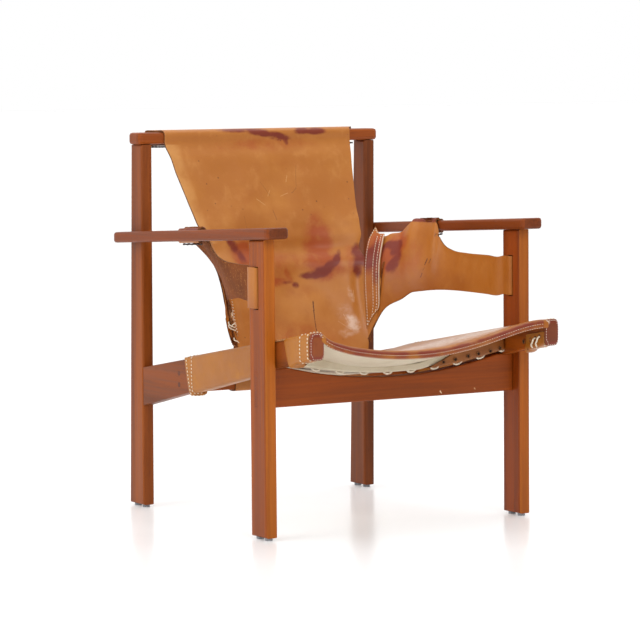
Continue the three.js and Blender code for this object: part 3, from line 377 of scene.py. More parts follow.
# Free stations above: height, half width and depth near the edge, the same at the edge, belly, shift to the left
free_stations = np.array([
    (529.9, 175.4, 137.0, 180.5, 137.2, 25.9, 0), (554.6, 180.3, 144.0, 189.5, 143.1, 18.1, 0),
    (569.7, 183.7, 150.8, 191.1, 150.1, 14.1, 0.4), (584.7, 185.9, 157.2, 193.5, 156.4, 10.0, 0.9),
    (599.7, 188.2, 165.4, 195.1, 165.0, 5.9, 1.5), (629.8, 193.1, 180.5, 200.9, 180.0, 3.0, 2.6),
    (659.4, 198.0, 193.2, 206.8, 192.9, 0.0, 3.7), (689.4, 204.1, 205.1, 212.8, 204.8, -1.1, 4.8),
    (719.5, 208.1, 214.5, 217.5, 214.3, -1.1, 5.9)])
# The path round the cross rail, then the one over the top rail, on the wood side: depth, height, half width, shift
foot_path = [(98.3, 275, 160, 0), (98.3, 254.2, 160, 0), (96.8, 252.7, 160, 0), (75.2, 252.7, 160, 0),
             (73.7, 254.2, 160, 0), (73.7, 280.5, 160, 0), (73.7, 308, 160, 0)]
head_path = [(232.7, 753.3, 224, 7), (232.7, 771.6, 224, 7), (236, 774.9, 225.3, 6.6), (256, 774.9, 237, 3.5),
             (276, 774.9, 250, 0), (279.3, 771.6, 250, 0), (279.3, 753.3, 245, 1.4), (276, 750, 242, 2.1),
             (265, 750, 239.6, 2.8)]
strip_thickness, layer_gap = 2.2, 0.4
across = np.linspace(-1, 1, 11)


def placed(points):
    """Millimetres from the line across the seat, made metres in the chair's frame."""
    return np.asarray(points, float) / 1000 + (0, seat_line, 0)


def through(points, pitch, sharp=()):
    """A smooth curve through each column of a grid, as cubics between the rows. A span is as long as the mean gap of
    its rows, and the slope at a row is its two spans' own slopes weighted by each other's length. A span over twice
    as long as its neighbour keeps the more of its own slope there, so short corners stay corners, and so do sharp
    rows. Spans are cut into steps of about the pitch. Returns the finer grid, each row's span and its distance."""
    gaps = np.maximum(np.linalg.norm(np.diff(points, axis=0), axis=-1).mean(axis=1), 1e-9)
    own = np.diff(points, axis=0) / gaps[:, None, None]
    shared = own[:-1] * gaps[1:, None, None] + own[1:] * gaps[:-1, None, None]
    shared = shared / (gaps[:-1] + gaps[1:])[:, None, None]
    knots = np.concatenate([own[:1], shared, own[-1:]])
    ends = np.isin(np.arange(len(gaps) + 1), sharp)
    before = np.minimum(1, 2 * np.append(gaps[0], gaps[:-1]) / gaps) * ~ends[:-1]
    after = np.minimum(1, 2 * np.append(gaps[1:], gaps[-1]) / gaps) * ~ends[1:]
    start = own + (knots[:-1] - own) * before[:, None, None]
    finish_slope = own + (knots[1:] - own) * after[:, None, None]
    steps = np.maximum(1, np.round(gaps / pitch)).astype(int)
    span = np.repeat(np.arange(len(gaps)), steps)
    first = np.repeat(np.cumsum(steps) - steps, steps)
    t = (np.arange(len(span)) - first) / steps[span]
    span, t = np.append(span, len(gaps) - 1), np.append(t, 1.0)
    length = gaps[span][:, None, None]
    s = t[:, None, None]
    finer = ((2 * s**3 - 3 * s**2 + 1) * points[span] + (s**3 - 2 * s**2 + s) * length * start[span]
             + (3 * s**2 - 2 * s**3) * points[span + 1] + (s**3 - s**2) * length * finish_slope[span])
    reach = np.concatenate([[0], np.cumsum(gaps)])[span] + t * gaps[span]
    return finer, span, reach


def smoothed(rows, pitch):
    """A grid of stations made finer both ways; returns it, its rows' and columns' spans and their distances."""
    rough, row_spans, up = through(rows, pitch)
    fine, column_spans, out = through(rough.swapaxes(0, 1), pitch)
    return fine.swapaxes(0, 1), row_spans, column_spans, up, out


def square_to(grid):
    """Directions square to a grid of points: across times along, from the differences to the neighbours."""
    normal = np.cross(np.gradient(grid, axis=1), np.gradient(grid, axis=0))
    return normal / np.maximum(np.linalg.norm(normal, axis=-1, keepdims=True), 1e-12)


def pushed(grid, distance):
    """A grid moved square to itself; toward the grain side when the distance is above zero."""
    return grid + square_to(grid) * np.asarray(distance)[..., None]


def drawn_in(grid):
    """The left seam has been pulled toward the middle: a place there moves across by a share of its own x, between
    the foot and the arm and most of all above the wing's low edge, and all that is sewn to the hide moves alike."""
    x, y, z = np.moveaxis(grid, -1, 0)
    pull = np.interp(x, (-262, -190, -162, -120, -30), (0, 9, 20, 12, 0))
    tall = np.interp(z, (300, 350, 400, 452, 530, 590), (0, 0.7, 0.7, 1, 1, 0)) * (y < 240) * (y > -350)
    return grid + np.stack([pull * tall, 0 * x, 0 * x], -1)


def other_side(grid):
    """The mirror image across the chair, with its columns turned round so that it keeps its outer face."""
    return drawn_in(grid[:, ::-1] * (-1, 1, 1))


def new_piece(name, points, faces, uv=None, values=None):
    """A mesh object from arrays: points, faces (rows of corners), a UV pair per point, and named values per point."""
    used, faces = np.unique(faces, return_inverse=True)
    faces = faces.reshape(-1, 4)
    mesh = bpy.data.meshes.new(name)
    mesh.from_pydata(points[used].tolist(), [], faces.tolist())
    mesh.polygons.foreach_set("use_smooth", np.ones(len(mesh.polygons), bool))
    if uv is not None:
        corners = np.zeros(len(mesh.loops), np.int32)
        mesh.loops.foreach_get("vertex_index", corners)
        mesh.uv_layers.new(name="lay").data.foreach_set("uv", uv[used][corners].astype(np.float32).ravel())
    for label, value in (values or {}).items():
        mesh.attributes.new(label, "FLOAT", "POINT").data.foreach_set("value", value[used].astype(np.float32))
    piece = bpy.data.objects.new(name, mesh)
    bpy.context.collection.objects.link(piece)
    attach(piece, "root")
    return piece


def hide_sheet(name, grid, thickness, finishes, kept=None, lay=None, values=None, ease=0.0005):
    """A hide on a grid in millimetres whose grain side is the grid itself: its thickness lies behind, the rear gets
    the second finish and the cut edge the third, and the edge is eased. Cells that aren't kept are left open."""
    rows, columns = grid.shape[:2]
    first = np.arange(rows * columns).reshape(rows, columns)[:-1, :-1]
    faces = np.stack([first, first + 1, first + columns + 1, first + columns], -1)
    faces = faces[np.ones(first.shape, bool) if kept is None else kept]
    if lay is None:
        steps = [np.linalg.norm(np.diff(grid, axis=k), axis=-1).mean(axis=1 - k) for k in (0, 1)]
        lay = [np.concatenate([[0], np.cumsum(step)]) for step in steps]
    uv = np.stack(np.meshgrid(lay[1], lay[0]), -1).reshape(-1, 2) / 1000
    values = {label: value.reshape(-1) for label, value in (values or {}).items()}
    piece = new_piece(name, placed(grid).reshape(-1, 3), faces, uv, values)
    for material in finishes:
        piece.data.materials.append(material)
    wall = piece.modifiers.new("thickness", "SOLIDIFY")
    wall.thickness, wall.offset, wall.use_even_offset = thickness / 1000, -1, False
    wall.material_offset, wall.material_offset_rim = 1, 2
    if ease:
        rim = piece.modifiers.new("eased_edge", "BEVEL")
        rim.width, rim.segments, rim.limit_method, rim.angle_limit = ease, 2, "ANGLE", math.radians(50)
    return piece


def blots(x, z, marks):
    """Marks on a hide: each is an ellipse (x, z, half width, half height, turn in degrees, strength), full at its
    middle and fading to its rim as a smooth step; where marks lie over each other the stronger one counts."""
    result = np.zeros_like(x)
    for mx, mz, wide, high, turn, strength in marks:
        c, s = math.cos(math.radians(turn)), math.sin(math.radians(turn))
        a, b = ((x - mx) * c + (z - mz) * s) / wide, ((z - mz) * c - (x - mx) * s) / high
        fade = np.clip(1.25 - np.sqrt(a * a + b * b), 0, 1)
        result = np.maximum(result, strength * fade * fade * (3 - 2 * fade))
    return result


def back_row(seam_x, seam_y, edge_x, edge_y, z, belly, shift):
    """One row of the back hide: eleven points across with a bellied middle, and one more at each edge."""
    middle = np.stack([seam_x * across - shift, seam_y + belly * (1 - across**2), 0 * across + z], -1)
    return np.concatenate([[(-edge_x - shift, edge_y, z)], middle, [(edge_x - shift, edge_y, z)]])


seam_front = np.stack([seam_stations[:, [1, 2, 0]], seam_stations[:, [3, 4, 0]]], 1)
hide_seam = pushed(seam_front, -(strip_thickness + layer_gap + hide_thickness))
inner_share = 0.93
rows = [back_row(half * inner_share, y, half, y, z, 0, shift) for y, z, half, shift in foot_path]
for ((sx, sy, sz), (ox, oy, _)), (*_, belly, reach) in zip(hide_seam[:7], seam_stations):
    rows.append(back_row(sx, sy, sx + (ox - sx) * reach, sy + (oy - sy) * reach, sz, belly, 0))
rows += [back_row(sx, sy + hide_thickness, ex, ey + hide_thickness, z, belly, shift)
         for z, sx, sy, ex, ey, belly, shift in free_stations]
rows += [back_row(half * inner_share, y, half, y, z, 0, shift) for y, z, half, shift in head_path]
back_grid, _, _, up_lay, side_lay = smoothed(np.array(rows), hide_pitch)
x, y, z = np.moveaxis(back_grid, -1, 0)
# The free face swells by three long waves, which fade to the rails
on_face = np.clip((z - 330) / 60, 0, 1) * np.clip((745 - z) / 60, 0, 1)
swell = (1.3 * np.sin(x / 41 + 0.7) * np.sin(z / 57 + 0.4) + 0.8 * np.sin(x / 23 - z / 31)
         + 0.5 * np.sin(x / 13 + z / 19 + 1.1)) * on_face
back_grid = drawn_in(pushed(back_grid, hide_thickness + swell))
on_front = (y < 240) * (z > 309)
dark_marks = blots(x, z, [
    (-52, 775, 70, 6, 0, 0.75), (1, 768, 50, 7, -8, 0.95), (44, 762, 34, 8, -12, 1.0), (58, 751, 8, 12, 15, 0.8),
    (101, 771, 26, 7, 3, 0.95), (131, 770, 34, 7, 0, 1.0), (28, 758, 30, 6, -14, 0.5),
    (66, 473, 38, 11, 0, 0.95), (84, 478, 24, 15, 6, 0.95), (103, 487, 26, 13, 38, 0.9),
    (121, 501, 20, 9, 50, 0.85), (132, 515, 12, 6, 55, 0.6), (24, 453, 11, 9, -10, 0.8), (4, 460, 18, 5, 0, 0.5),
    (172, 508, 17, 32, -12, 1.0), (164, 484, 13, 24, 0, 0.9),
    (-131, 541, 17, 26, 28, 0.85), (-113, 516, 15, 24, 30, 0.6)]) * on_front
warm_marks = blots(x, z, [
    (92, 540, 44, 76, 0, 0.75), (90, 495, 56, 40, 0, 0.8), (8, 476, 11, 34, 24, 0.5), (-20, 462, 46, 14, 0, 0.6),
    (86, 575, 18, 20, 0, 0.55), (96, 480, 60, 26, 8, 0.7), (10, 500, 70, 34, -6, 0.38), (-40, 470, 60, 30, 10, 0.40),
    (30, 440, 70, 22, 0, 0.30), (-110, 520, 52, 42, 30, 0.8), (160, 500, 30, 46, 0, 0.5), (0, 745, 180, 22, 0, 0.40),
    (-60, 640, 70, 40, 20, 0.22), (40, 700, 120, 30, 0, 0.2), (0, 350, 170, 46, 0, 0.35)]) * on_front
# Pale, glossy places: partly real rubbing, partly a painted highlight where the hide's curve catches the light
wear_and_sheen_marks = blots(x, z, [
    (136, 372, 20, 26, 12, 1.0), (142, 430, 9, 26, 4, 0.65), (122, 395, 30, 30, 0, 0.35), (118, 352, 26, 16, 0, 0.5),
    (-150, 520, 20, 60, 20, 0.12)]) * on_front
# The left edge above the wing is paler, over 34 mm
from_edge = np.interp(z, free_stations[:, 0], free_stations[:, 3]) - np.abs(x + 4)
pale_marks = np.clip(1 - from_edge / 34, 0, 1) * (z > 545) * (y < 232) * (x < 0)
# Below 300 mm, where the foot wraps round the cross rail, the hide is darkened as painted shade
back_values = {"dark_marks": np.maximum(dark_marks, 0.3 * (z < 300)), "warm_marks": warm_marks,
               "wear_and_sheen_marks": wear_and_sheen_marks, "pale_marks": pale_marks}
tan = ("bd7930", "b06a24", "c98943")

leather_grain, takes, gives = new_group("leather_grain", {
    "Vector": "Vector", "Base": "Color", "Deep": "Color", "Pale": "Color"},
    {"Colour": "Color", "Roughness": "Float", "Height": "Float"})
tree, place = leather_grain, takes["Vector"]
clouds = noise(tree, place, 6, 4)
patches = noise(tree, place, (38, 38, 30), 5, 0.6)
pebble = add(tree, "ShaderNodeTexVoronoi", {"Vector": place, "Scale": 620.0}).outputs["Distance"]
fine = noise(tree, place, 1500, 2)
scratches = noise(tree, place, (60, 60, 900), 3, 0.5)
tone = blended(tree, ranged(tree, clouds, 0.38, 0.62), takes["Base"], takes["Deep"])
tone = blended(tree, ranged(tree, patches, 0.5, 0.8, 0, 0.45), tone, takes["Pale"])
tone = blended(tree, ranged(tree, patches, 0.46, 0.28, 0, 0.4), tone, takes["Deep"])
tone = blended(tree, ranged(tree, scratches, 0.66, 0.74, 0, 0.25), tone, takes["Pale"])
speck = add(tree, "ShaderNodeTexVoronoi", {"Vector": place, "Scale": 40.0}).outputs["Distance"]
speck = combine(tree, "MULTIPLY", ranged(tree, speck, 0.085, 0.05), ranged(tree, clouds, 0.5, 0.6))
feed(tree, gives, {
    "Colour": blended(tree, combine(tree, "MULTIPLY", speck, 0.75), tone, paint("5d3218")),
    "Roughness": ranged(tree, patches, 0.3, 0.7, 0.38, 0.52),
    "Height": combine(tree, "ADD", combine(tree, "MULTIPLY", pebble, 0.7), combine(tree, "MULTIPLY", fine, 0.5))})


def grain_leather(name, colours=tan, coat=0.06, lines=(), plane=(1, 0, 1)):
    """Smooth leather: mottled from a base toward a deeper and a paler colour, with pores and scratches, and over it
    the piece's own marks, each broken up by a noise: rust-red stains, a pale border, purple-brown darkening, mostly
    stains but painted shade at the back hide's foot, and pale glossy places, partly polish from wear and partly a
    painted highlight and sheen."""
    material, tree, shader, place = finish_of(name, {
        "Specular IOR Level": 0.4, "Coat Weight": coat, "Coat Roughness": 0.3})
    grain = add(tree, "ShaderNodeGroup", {"Vector": place}, node_tree=leather_grain)
    for socket, colour in zip(("Base", "Deep", "Pale"), colours):
        grain.inputs[socket].default_value = paint(colour)
    ragged = noise(tree, place, 34, 5, 0.6)
    colour = grain.outputs["Colour"]
    for label, shade, strength in (("warm_marks", "a2420a", 0.85), ("pale_marks", "d79c58", 0.5),
                                   ("dark_marks", "76220b", 0.95)):
        mark = add(tree, "ShaderNodeAttribute", attribute_name=label).outputs["Fac"]
        broken = combine(tree, "MULTIPLY", mark, ranged(tree, ragged, 0.3, 0.7, 0.6, 1.25))
        colour = blended(tree, ranged(tree, broken, 0.1, 0.75, 0, strength), colour, paint(shade))
    # Pale, glossy places: real polish from wear in some, a painted highlight and sheen in others
    wear_and_sheen = add(tree, "ShaderNodeAttribute", attribute_name="wear_and_sheen_marks").outputs["Fac"]
    rub_and_sheen_breakup = ranged(tree, noise(tree, place, (70, 70, 110), 5, 0.65), 0.3, 0.7, 0.5, 1.15)
    scuff_and_sheen = combine(tree, "MULTIPLY", wear_and_sheen, rub_and_sheen_breakup)
    colour = blended(tree, ranged(tree, scuff_and_sheen, 0.15, 1.0, 0, 0.6), colour, paint("e9d3c0"))
    rough = blended(tree, ranged(tree, scuff_and_sheen, 0.1, 0.9), grain.outputs["Roughness"], 0.3, "FLOAT")
    feed(tree, shader, {"Base Color": lined(tree, place, colour, lines, plane), "Roughness": rough,
                        "Normal": bumped(tree, grain.outputs["Height"], 0.3, 0.0004)})
    return material


def suede(name, base="86502a", dark="5f361b", light="a97545"):
    """The rear of a hide: brown nap with darker and lighter flecks, and no gloss."""
    material, tree, shader, place = finish_of(name, {
        "Specular IOR Level": 0.1, "Sheen Weight": 0.05, "Sheen Roughness": 0.5})
    nap = noise(tree, place, 190, 5, 0.75)
    colour = blended(tree, ranged(tree, noise(tree, place, 16), 0.25, 0.95), paint(base), paint(dark))
    colour = blended(tree, ranged(tree, nap, 0.54, 0.66, 0, 0.85), colour, paint(light))
    feed(tree, shader, {"Base Color": blended(tree, ranged(tree, nap, 0.42, 0.3, 0, 0.6), colour, paint(dark)),
                        "Roughness": ranged(tree, nap, 0.3, 0.7, 0.8, 0.95),
                        "Normal": bumped(tree, nap, 0.5, 0.0008)})
    return material


def cut_edge(name, base, dark):
    """The cut edge of a hide: fibres of two colours, without gloss."""
    return speckled(name, {"Specular IOR Level": 0.3}, 420, 4, (base, dark), (0.6, 0.8))


slit, scratch, crease = "5a2f14", "dcae72", "8a5220"
hide_lines = [((54.8, 420), (52, 398), 1.4, slit, 0.9), ((52, 398), (49.8, 360), 0.9, slit, 0.9),
              ((-40, 634), (-22, 621), 0.6, scratch, 0.5), ((-11.3, 639), (-4, 651), 0.6, scratch, 0.5),
              ((20, 638), (38, 644), 0.6, scratch, 0.5), ((48, 644), (60, 654), 0.8, crease, 0.7),
              ((38, 667), (44, 680), 0.6, scratch, 0.5), ((-24, 668), (-6, 640), 0.7, crease, 0.5),
              ((60, 655), (70, 700), 0.7, crease, 0.5), ((-80, 600), (-76, 560), 0.7, crease, 0.4),
              ((118, 392), (128, 366), 0.5, "e0ba8c", 0.5), ((104, 378), (128, 360), 0.5, "e0ba8c", 0.4),
              ((-6, 610), (-1, 590), 1.0, "7a451c", 0.5), ((150, 440), (148, 420), 0.6, "e0ba8c", 0.4)]
tan_grain = grain_leather("tan_grain", lines=hide_lines)
rear_suede = suede("rear_suede")
raw_edge = cut_edge("raw_edge", "8f5a2c", "54301a")
back_hide = hide_sheet("back_hide_leather", back_grid, hide_thickness, (tan_grain, rear_suede, raw_edge),
                       lay=(up_lay, side_lay), values=back_values)
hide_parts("back_hide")

# Wings
# Two shaped hides sewn behind the back hide's edges. A tab goes over the arm and down through its slot, and the
# strap goes through the front post's slot and round the post's rear half.
wing_shares = np.array([0, 0.098, 0.194, 0.337, 0.477, 0.619, 0.755, 0.887, 1])
# Columns from the seam to the post: the low point, the high point, and a share of the bow
wing_columns = np.array([
    (190.0, 56.0, 400.0, 237.6, 95.5, 554.4, 1.0), (214.3, 19.1, 425.0, 252.5, 79.4, 559.5, 0.9),
    (226.5, 3.7, 437.1, 263.5, 73.2, 569.0, 0.8), (233.0, -8.7, 440.0, 279.0, 64.0, 579.1, 0.7),
    (237.0, -17.2, 441.2, 278.5, 44.0, 580.2, 0.6), (240.1, -24.8, 442.3, 277.9, 24.0, 581.3, 0.55),
    (243.2, -32.5, 443.3, 277.4, 4.0, 582.4, 0.5), (246.2, -40.3, 444.1, 277.0, -15.0, 583.4, 0.45),
    (251.5, -55.8, 445.4, 275.2, -27.0, 556.0, 0.4), (257.6, -77.0, 446.4, 274.0, -45.0, 539.5, 0.3),
    (264.3, -108.0, 446.6, 274.2, -79.0, 527.8, 0.15), (269.9, -146.0, 446.0, 275.2, -126.0, 524.2, 0.05),
    (275.6, -204.1, 444.2, 277.0, -204.1, 523.1, 0), (278.3, -234.8, 443.2, 278.8, -234.8, 521.6, 0)])
bow_depth = 12
strap_low, strap_high = 446, 524
# The strap's way round the post: across and along
strap_path = [(283, -245), (283, -270.5), (283.5, -271.0), (308.6, -271.0), (309.1, -270.5), (309.1, -244.1),
              (306.7, -241.7), (287.3, -241.7)]
tab_first, tab_last, tab_high = 3, 7, 583.6
tab_slot_x, tab_turn, arm_slope = 289.8, 8, 32.6 / 630
arm_inner_at = lambda y: 279.3 - 2.1 * (64 - y) / 87
arm_top_at = lambda y: 602.6 - (y + 333) * arm_slope
seam_behind = pushed(seam_front, -(strip_thickness + 2 * layer_gap + 2 * hide_thickness))
# The left wing has stretched: its low edge lies higher and nearer the seam
left_columns = wing_columns.copy()
left_columns[:, :3] += [(-3, 3, 19), (-9, 9, 9), (-9, 8, 3), (-7, 6, 3), (-6, 5, 3), (-5, 5, 3), (-4, 4, 3),
                        (-3, 3, 3), (-2, 2, 3), (-1, 1, 4), (0, 0, 8), (0, 0, 8), (0, 0, 5), (0, 0, 0)]
round_post = np.array([[(px, py, strap_low + (strap_high - strap_low) * share) for px, py in strap_path]
                       for share in wing_shares])
y = np.concatenate([seam_behind[-1, :, 1], wing_columns[:, 4], round_post[-1, :, 1]])
arm_top = arm_top_at(y)
# The tab's rows over the arm and down through its slot: across and up
tab_path = [(arm_inner_at(y) + 3, arm_top + 0.3)] + [(0 * y + tab_slot_x + step, arm_top + up) for step, up in (
    (-0.2, 0.3), (0.3, -0.2), (0.3, -21.8), (-0.2, -22.3), (-tab_turn, -22.3))]
tab_rows = np.array([np.stack([px, y, pz], -1) for px, pz in tab_path])
easing_passes = 14


def wing_surface(columns):
    """A wing's grain side: from the low to the high points, less a bow that fades to both and to the arm's height,
    then eased in passes, each of which moves a place toward the straight line between its neighbours, less near the
    top edge. Returns the grid, the cells kept, each row's and column's span, and their distances."""
    s = wing_shares[:, None, None]
    low, high = columns[None, :, :3], columns[None, :, 3:6]
    web = low + (high - low) * s
    tallness = np.where(np.arange(len(columns)) > tab_last, tab_high, columns[:, 5]) - columns[:, 2]
    h = (web[..., 2] - columns[:, 2]) / tallness
    web = web + (bow_depth * columns[:, 6] * 4 * h * (1 - h))[..., None] * (-1, -0.5, 0)
    ease = 0.5 * (1 - 0.7 * wing_shares**6)[:, None]
    for _ in range(easing_passes):
        before, here, after = web[:, :-2], web[:, 1:-1], web[:, 2:]
        reach = (here[..., 1] - before[..., 1]) / (after[..., 1] - before[..., 1])
        web[:, 1:-1, 0] += ease * (before[..., 0] + (after[..., 0] - before[..., 0]) * reach - here[..., 0])
    rows = np.concatenate([np.concatenate([seam_behind, web, round_post], axis=1), tab_rows])
    grid, row_spans, column_spans, up, out = smoothed(rows, hide_pitch)
    in_tab = (column_spans[:-1] >= tab_first + 2) & (column_spans[:-1] < tab_last + 2)
    kept = (row_spans[:-1, None] < len(wing_shares) - 1) | in_tab[None, :]
    return pushed(grid, hide_thickness), kept, row_spans, column_spans, up, out


wing_sides = {"right": wing_surface(wing_columns), "left": wing_surface(left_columns)}
wing_grain = grain_leather("wing_grain", ("b0691c", "a15a14", "bb782c"), plane=(0, 1, 1), lines=[
    ((-20, 508), (-17, 496), 1.3, "4a1c0e", 0.9), ((-30, 508), (-27, 500), 1.0, "4a1c0e", 0.8),
    ((-15, 478), (-13, 470), 0.9, "4a1c0e", 0.8), ((-58, 553), (-52, 551), 1.0, "5a2c14", 0.7),
    ((-18, 490), (-15, 484), 0.6, "5a2c14", 0.6), ((-26, 560), (-25, 555), 0.9, "5a2c14", 0.7)])
wing_suede = suede("wing_suede", "80451f", "592d12", "a96f3c")
for side, (grid, kept, _, _, wing_up, wing_out) in wing_sides.items():
    x, y, z = np.moveaxis(grid, -1, 0)
    dark = blots(y, z, [(88, 534, 10, 12, 20, 0.75), (72, 534, 18, 13, 0, 1.0), (64, 524, 14, 18, 0, 0.9),
                        (54, 502, 13, 30, -6, 1.0), (60, 492, 12, 18, 0, 0.8), (92, 510, 9, 34, 0, 0.7)]) * (x < 262)
    dark = np.maximum(dark * (1 if side == "right" else 0.6), np.clip((z - 580) / 4, 0, 1) * 0.9)
    warm = blots(y, z, [(70, 518, 34, 56, 0, 0.9), (30, 500, 60, 60, 0, 0.35)]) * (x < 275)
    if side == "left":
        grid, kept, dark, warm = other_side(grid), kept[:, ::-1], dark[:, ::-1], warm[:, ::-1]
        wing_out = wing_out[-1] - wing_out[::-1]
    wing = hide_sheet("wing_leather_" + side, grid, hide_thickness, (wing_grain, wing_suede, raw_edge), kept,
                      (wing_up, wing_out), {"dark_marks": dark, "warm_marks": warm})
    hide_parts("wing_" + side)

# Seam strips
# A thinner strip of the same leather covers each seam on the sitter's side. White stitches hold it: three rows along
# it, one across each end and a close one on its outer edge. Its top is a blunt peak, its lower end cut on the slant.
strip_columns, strip_rows = 17, 90
peak_height, low_inner, low_outer = 15, 360, 402
strip_u, strip_v = np.meshgrid(np.linspace(0, 1, strip_columns), np.linspace(0, 1, strip_rows))
strip_low = low_inner + (low_outer - low_inner) * strip_u
strip_high = seam_stations[-1, 0] + peak_height * np.interp(strip_u, (0, 0.25, 0.6, 1), (-0.6, 1, 0.1, 0.1))
strip_z = strip_low + (strip_high - strip_low) * strip_v
smooth_seam, _, _ = through(seam_front, 3)
beyond = smooth_seam[-1] + (smooth_seam[-1] - smooth_seam[-2]) * 5
smooth_seam = np.concatenate([smooth_seam, [beyond]])
inner, outer = [np.stack([np.interp(strip_z, smooth_seam[:, k, 2], smooth_seam[:, k, axis]) for axis in (0, 1)], -1)
                for k in (0, 1)]
strip_grid = np.concatenate([inner + (outer - inner) * strip_u[..., None], strip_z[..., None]], -1)
pale_edge = cut_edge("pale_edge", "d9b48a", "b98a5c")
strip_dark = blots(strip_u, strip_z, [(0.35, 505, 0.8, 40, 0, 0.95), (0.75, 480, 0.4, 40, 0, 0.7),
                                      (0.6, 528, 0.5, 20, 0, 0.6)])
strip_warm = blots(strip_u, strip_z, [(0.5, 510, 1.2, 66, 0, 0.8), (0.5, 440, 1.2, 60, 0, 0.25)])
thread_white = speckled("thread_white", {"Specular IOR Level": 0.25, "Roughness": 0.8}, 1400, 2, ("f3e9d8", "d9c7aa"))


def sampled(grid, rows, columns):
    """Points of a grid at row and column numbers with fractions: the mean of the four nearest, by nearness."""
    rows, columns = np.broadcast_arrays(np.asarray(rows, float), np.asarray(columns, float))
    i = np.clip(rows.astype(int), 0, grid.shape[0] - 2)
    j = np.clip(columns.astype(int), 0, grid.shape[1] - 2)
    a, b = (rows - i)[..., None], (columns - j)[..., None]
    here, beyond = grid[i, j] * (1 - a) + grid[i + 1, j] * a, grid[i, j + 1] * (1 - a) + grid[i + 1, j + 1] * a
    return here * (1 - b) + beyond * b


def line_on(grid, rows, columns, lift=0.0004):
    """A line on a grid in millimetres, at row and column numbers and raised by a lift, as points in metres with the
    directions square to the grid."""
    grid = placed(grid)
    square = sampled(square_to(grid), rows, columns)
    return sampled(grid, rows, columns) + square * lift, square


def stitched(name, lines, pitch, length, radius, lean):
    """Rows of stitches as one piece. Along each line of points and directions, stitches sit a pitch apart: each is
    a short rod of five rings of six points, thick in its middle, bowed up from the leather and turned by a lean."""
    rings, around = np.linspace(-1, 1, 5), np.arange(6) * math.pi / 3
    thick = radius * np.sqrt(1 - 0.86 * rings**4)
    rod_t = np.repeat(rings * length / 2, 6)
    rod_b = (thick[:, None] * np.cos(around)).ravel()
    rod_n = (thick[:, None] * np.sin(around)).ravel() + np.repeat(radius * (0.35 - 1.1 * rings**2), 6)
    c, s = math.cos(math.radians(lean)), math.sin(math.radians(lean))
    rod = np.stack([rod_t * c - rod_b * s, rod_t * s + rod_b * c, rod_n], -1)
    k = np.arange(24).reshape(4, 6)
    walls = np.stack([k, np.roll(k, -1, 1), np.roll(k, -1, 1) + 6, k + 6], -1).reshape(-1, 4)
    caps = np.array([(3, 2, 1, 0), (5, 4, 3, 0), (24, 25, 26, 27), (24, 27, 28, 29)])
    rod_faces = np.concatenate([walls[:, ::-1], caps[:, ::-1]])
    all_points = []
    for points, square in lines:
        gaps = np.linalg.norm(np.diff(points, axis=0), axis=-1)
        reach = np.concatenate([[0], np.cumsum(gaps)])
        at = np.arange(pitch / 2, reach[-1] - length / 3, pitch)
        centre = np.stack([np.interp(at, reach, points[:, a]) for a in range(3)], -1)
        normal = np.stack([np.interp(at, reach, square[:, a]) for a in range(3)], -1)
        ahead_of = np.stack([np.interp(at, reach, np.gradient(points[:, a], reach)) for a in range(3)], -1)
        ahead_of /= np.linalg.norm(ahead_of, axis=-1, keepdims=True)
        beside = np.cross(normal, ahead_of)
        beside /= np.linalg.norm(beside, axis=-1, keepdims=True)
        frames = np.stack([ahead_of, beside, np.cross(ahead_of, beside)], 1)
        all_points.append((centre[:, None] + np.einsum("pk,nkj->npj", rod, frames)).reshape(-1, 3))
    points = np.concatenate(all_points)
    starts = np.arange(0, len(points), len(rod))[:, None, None]
    piece = new_piece(name, points, (rod_faces + starts).reshape(-1, 4))
    piece.data.materials.append(thread_white)


for side, grid, order in (("right", strip_grid, 1), ("left", other_side(strip_grid), -1)):
    values = {"dark_marks": strip_dark[:, ::order] * (1 if side == "right" else 0.5),
              "warm_marks": strip_warm[:, ::order]}
    strip = hide_sheet("seam_strip_leather_" + side, grid, strip_thickness, (wing_grain, wing_suede, pale_edge),
                       values=values, ease=0.0003)
    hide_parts("seam_strip_" + side)
    every_row = np.arange(strip_rows - 3) + 1.5
    column_at = lambda share: (share if side == "right" else 1 - share) * (strip_columns - 1)
    lines = [line_on(grid, every_row, column_at(share)) for share in (0.08, 0.56, 0.8)]
    lines += [line_on(grid, strip_rows - 2.5, column_at(np.linspace(0.08, 0.56, 12))),
              line_on(grid, 1.5, column_at(np.linspace(0.08, 0.97, 16)))]
    stitched("seam_stitches_" + side, lines, 0.0062, 0.004, 0.00095, lean=10)
    edge_line = line_on(grid, every_row, column_at(0.965), 0.0005)
    stitched("seam_edge_stitches_" + side, [edge_line], 0.0046, 0.005, 0.001, lean=12)

# Seam patches
# A piece of thinner suede backs each wing at its seam's lower end, with a rounded corner. At the left, where the seam
# has opened, white cord is knotted through it in four loops.
patch_thickness, patch_gap = 2.4, 0.9
patch_columns, patch_rows, patch_width = 17, 28, 0.62
patch_u, patch_v = np.meshgrid(np.linspace(0, 1, patch_columns), np.linspace(0, 1, patch_rows))
rounded = np.sqrt(1 - (1 - np.clip(patch_u / 0.4, 0, 1))**2)
patch_v = patch_v * (0.84 + 0.16 * rounded)
patch_suede = suede("patch_suede", "7a4826", "5a3218", "93613a")


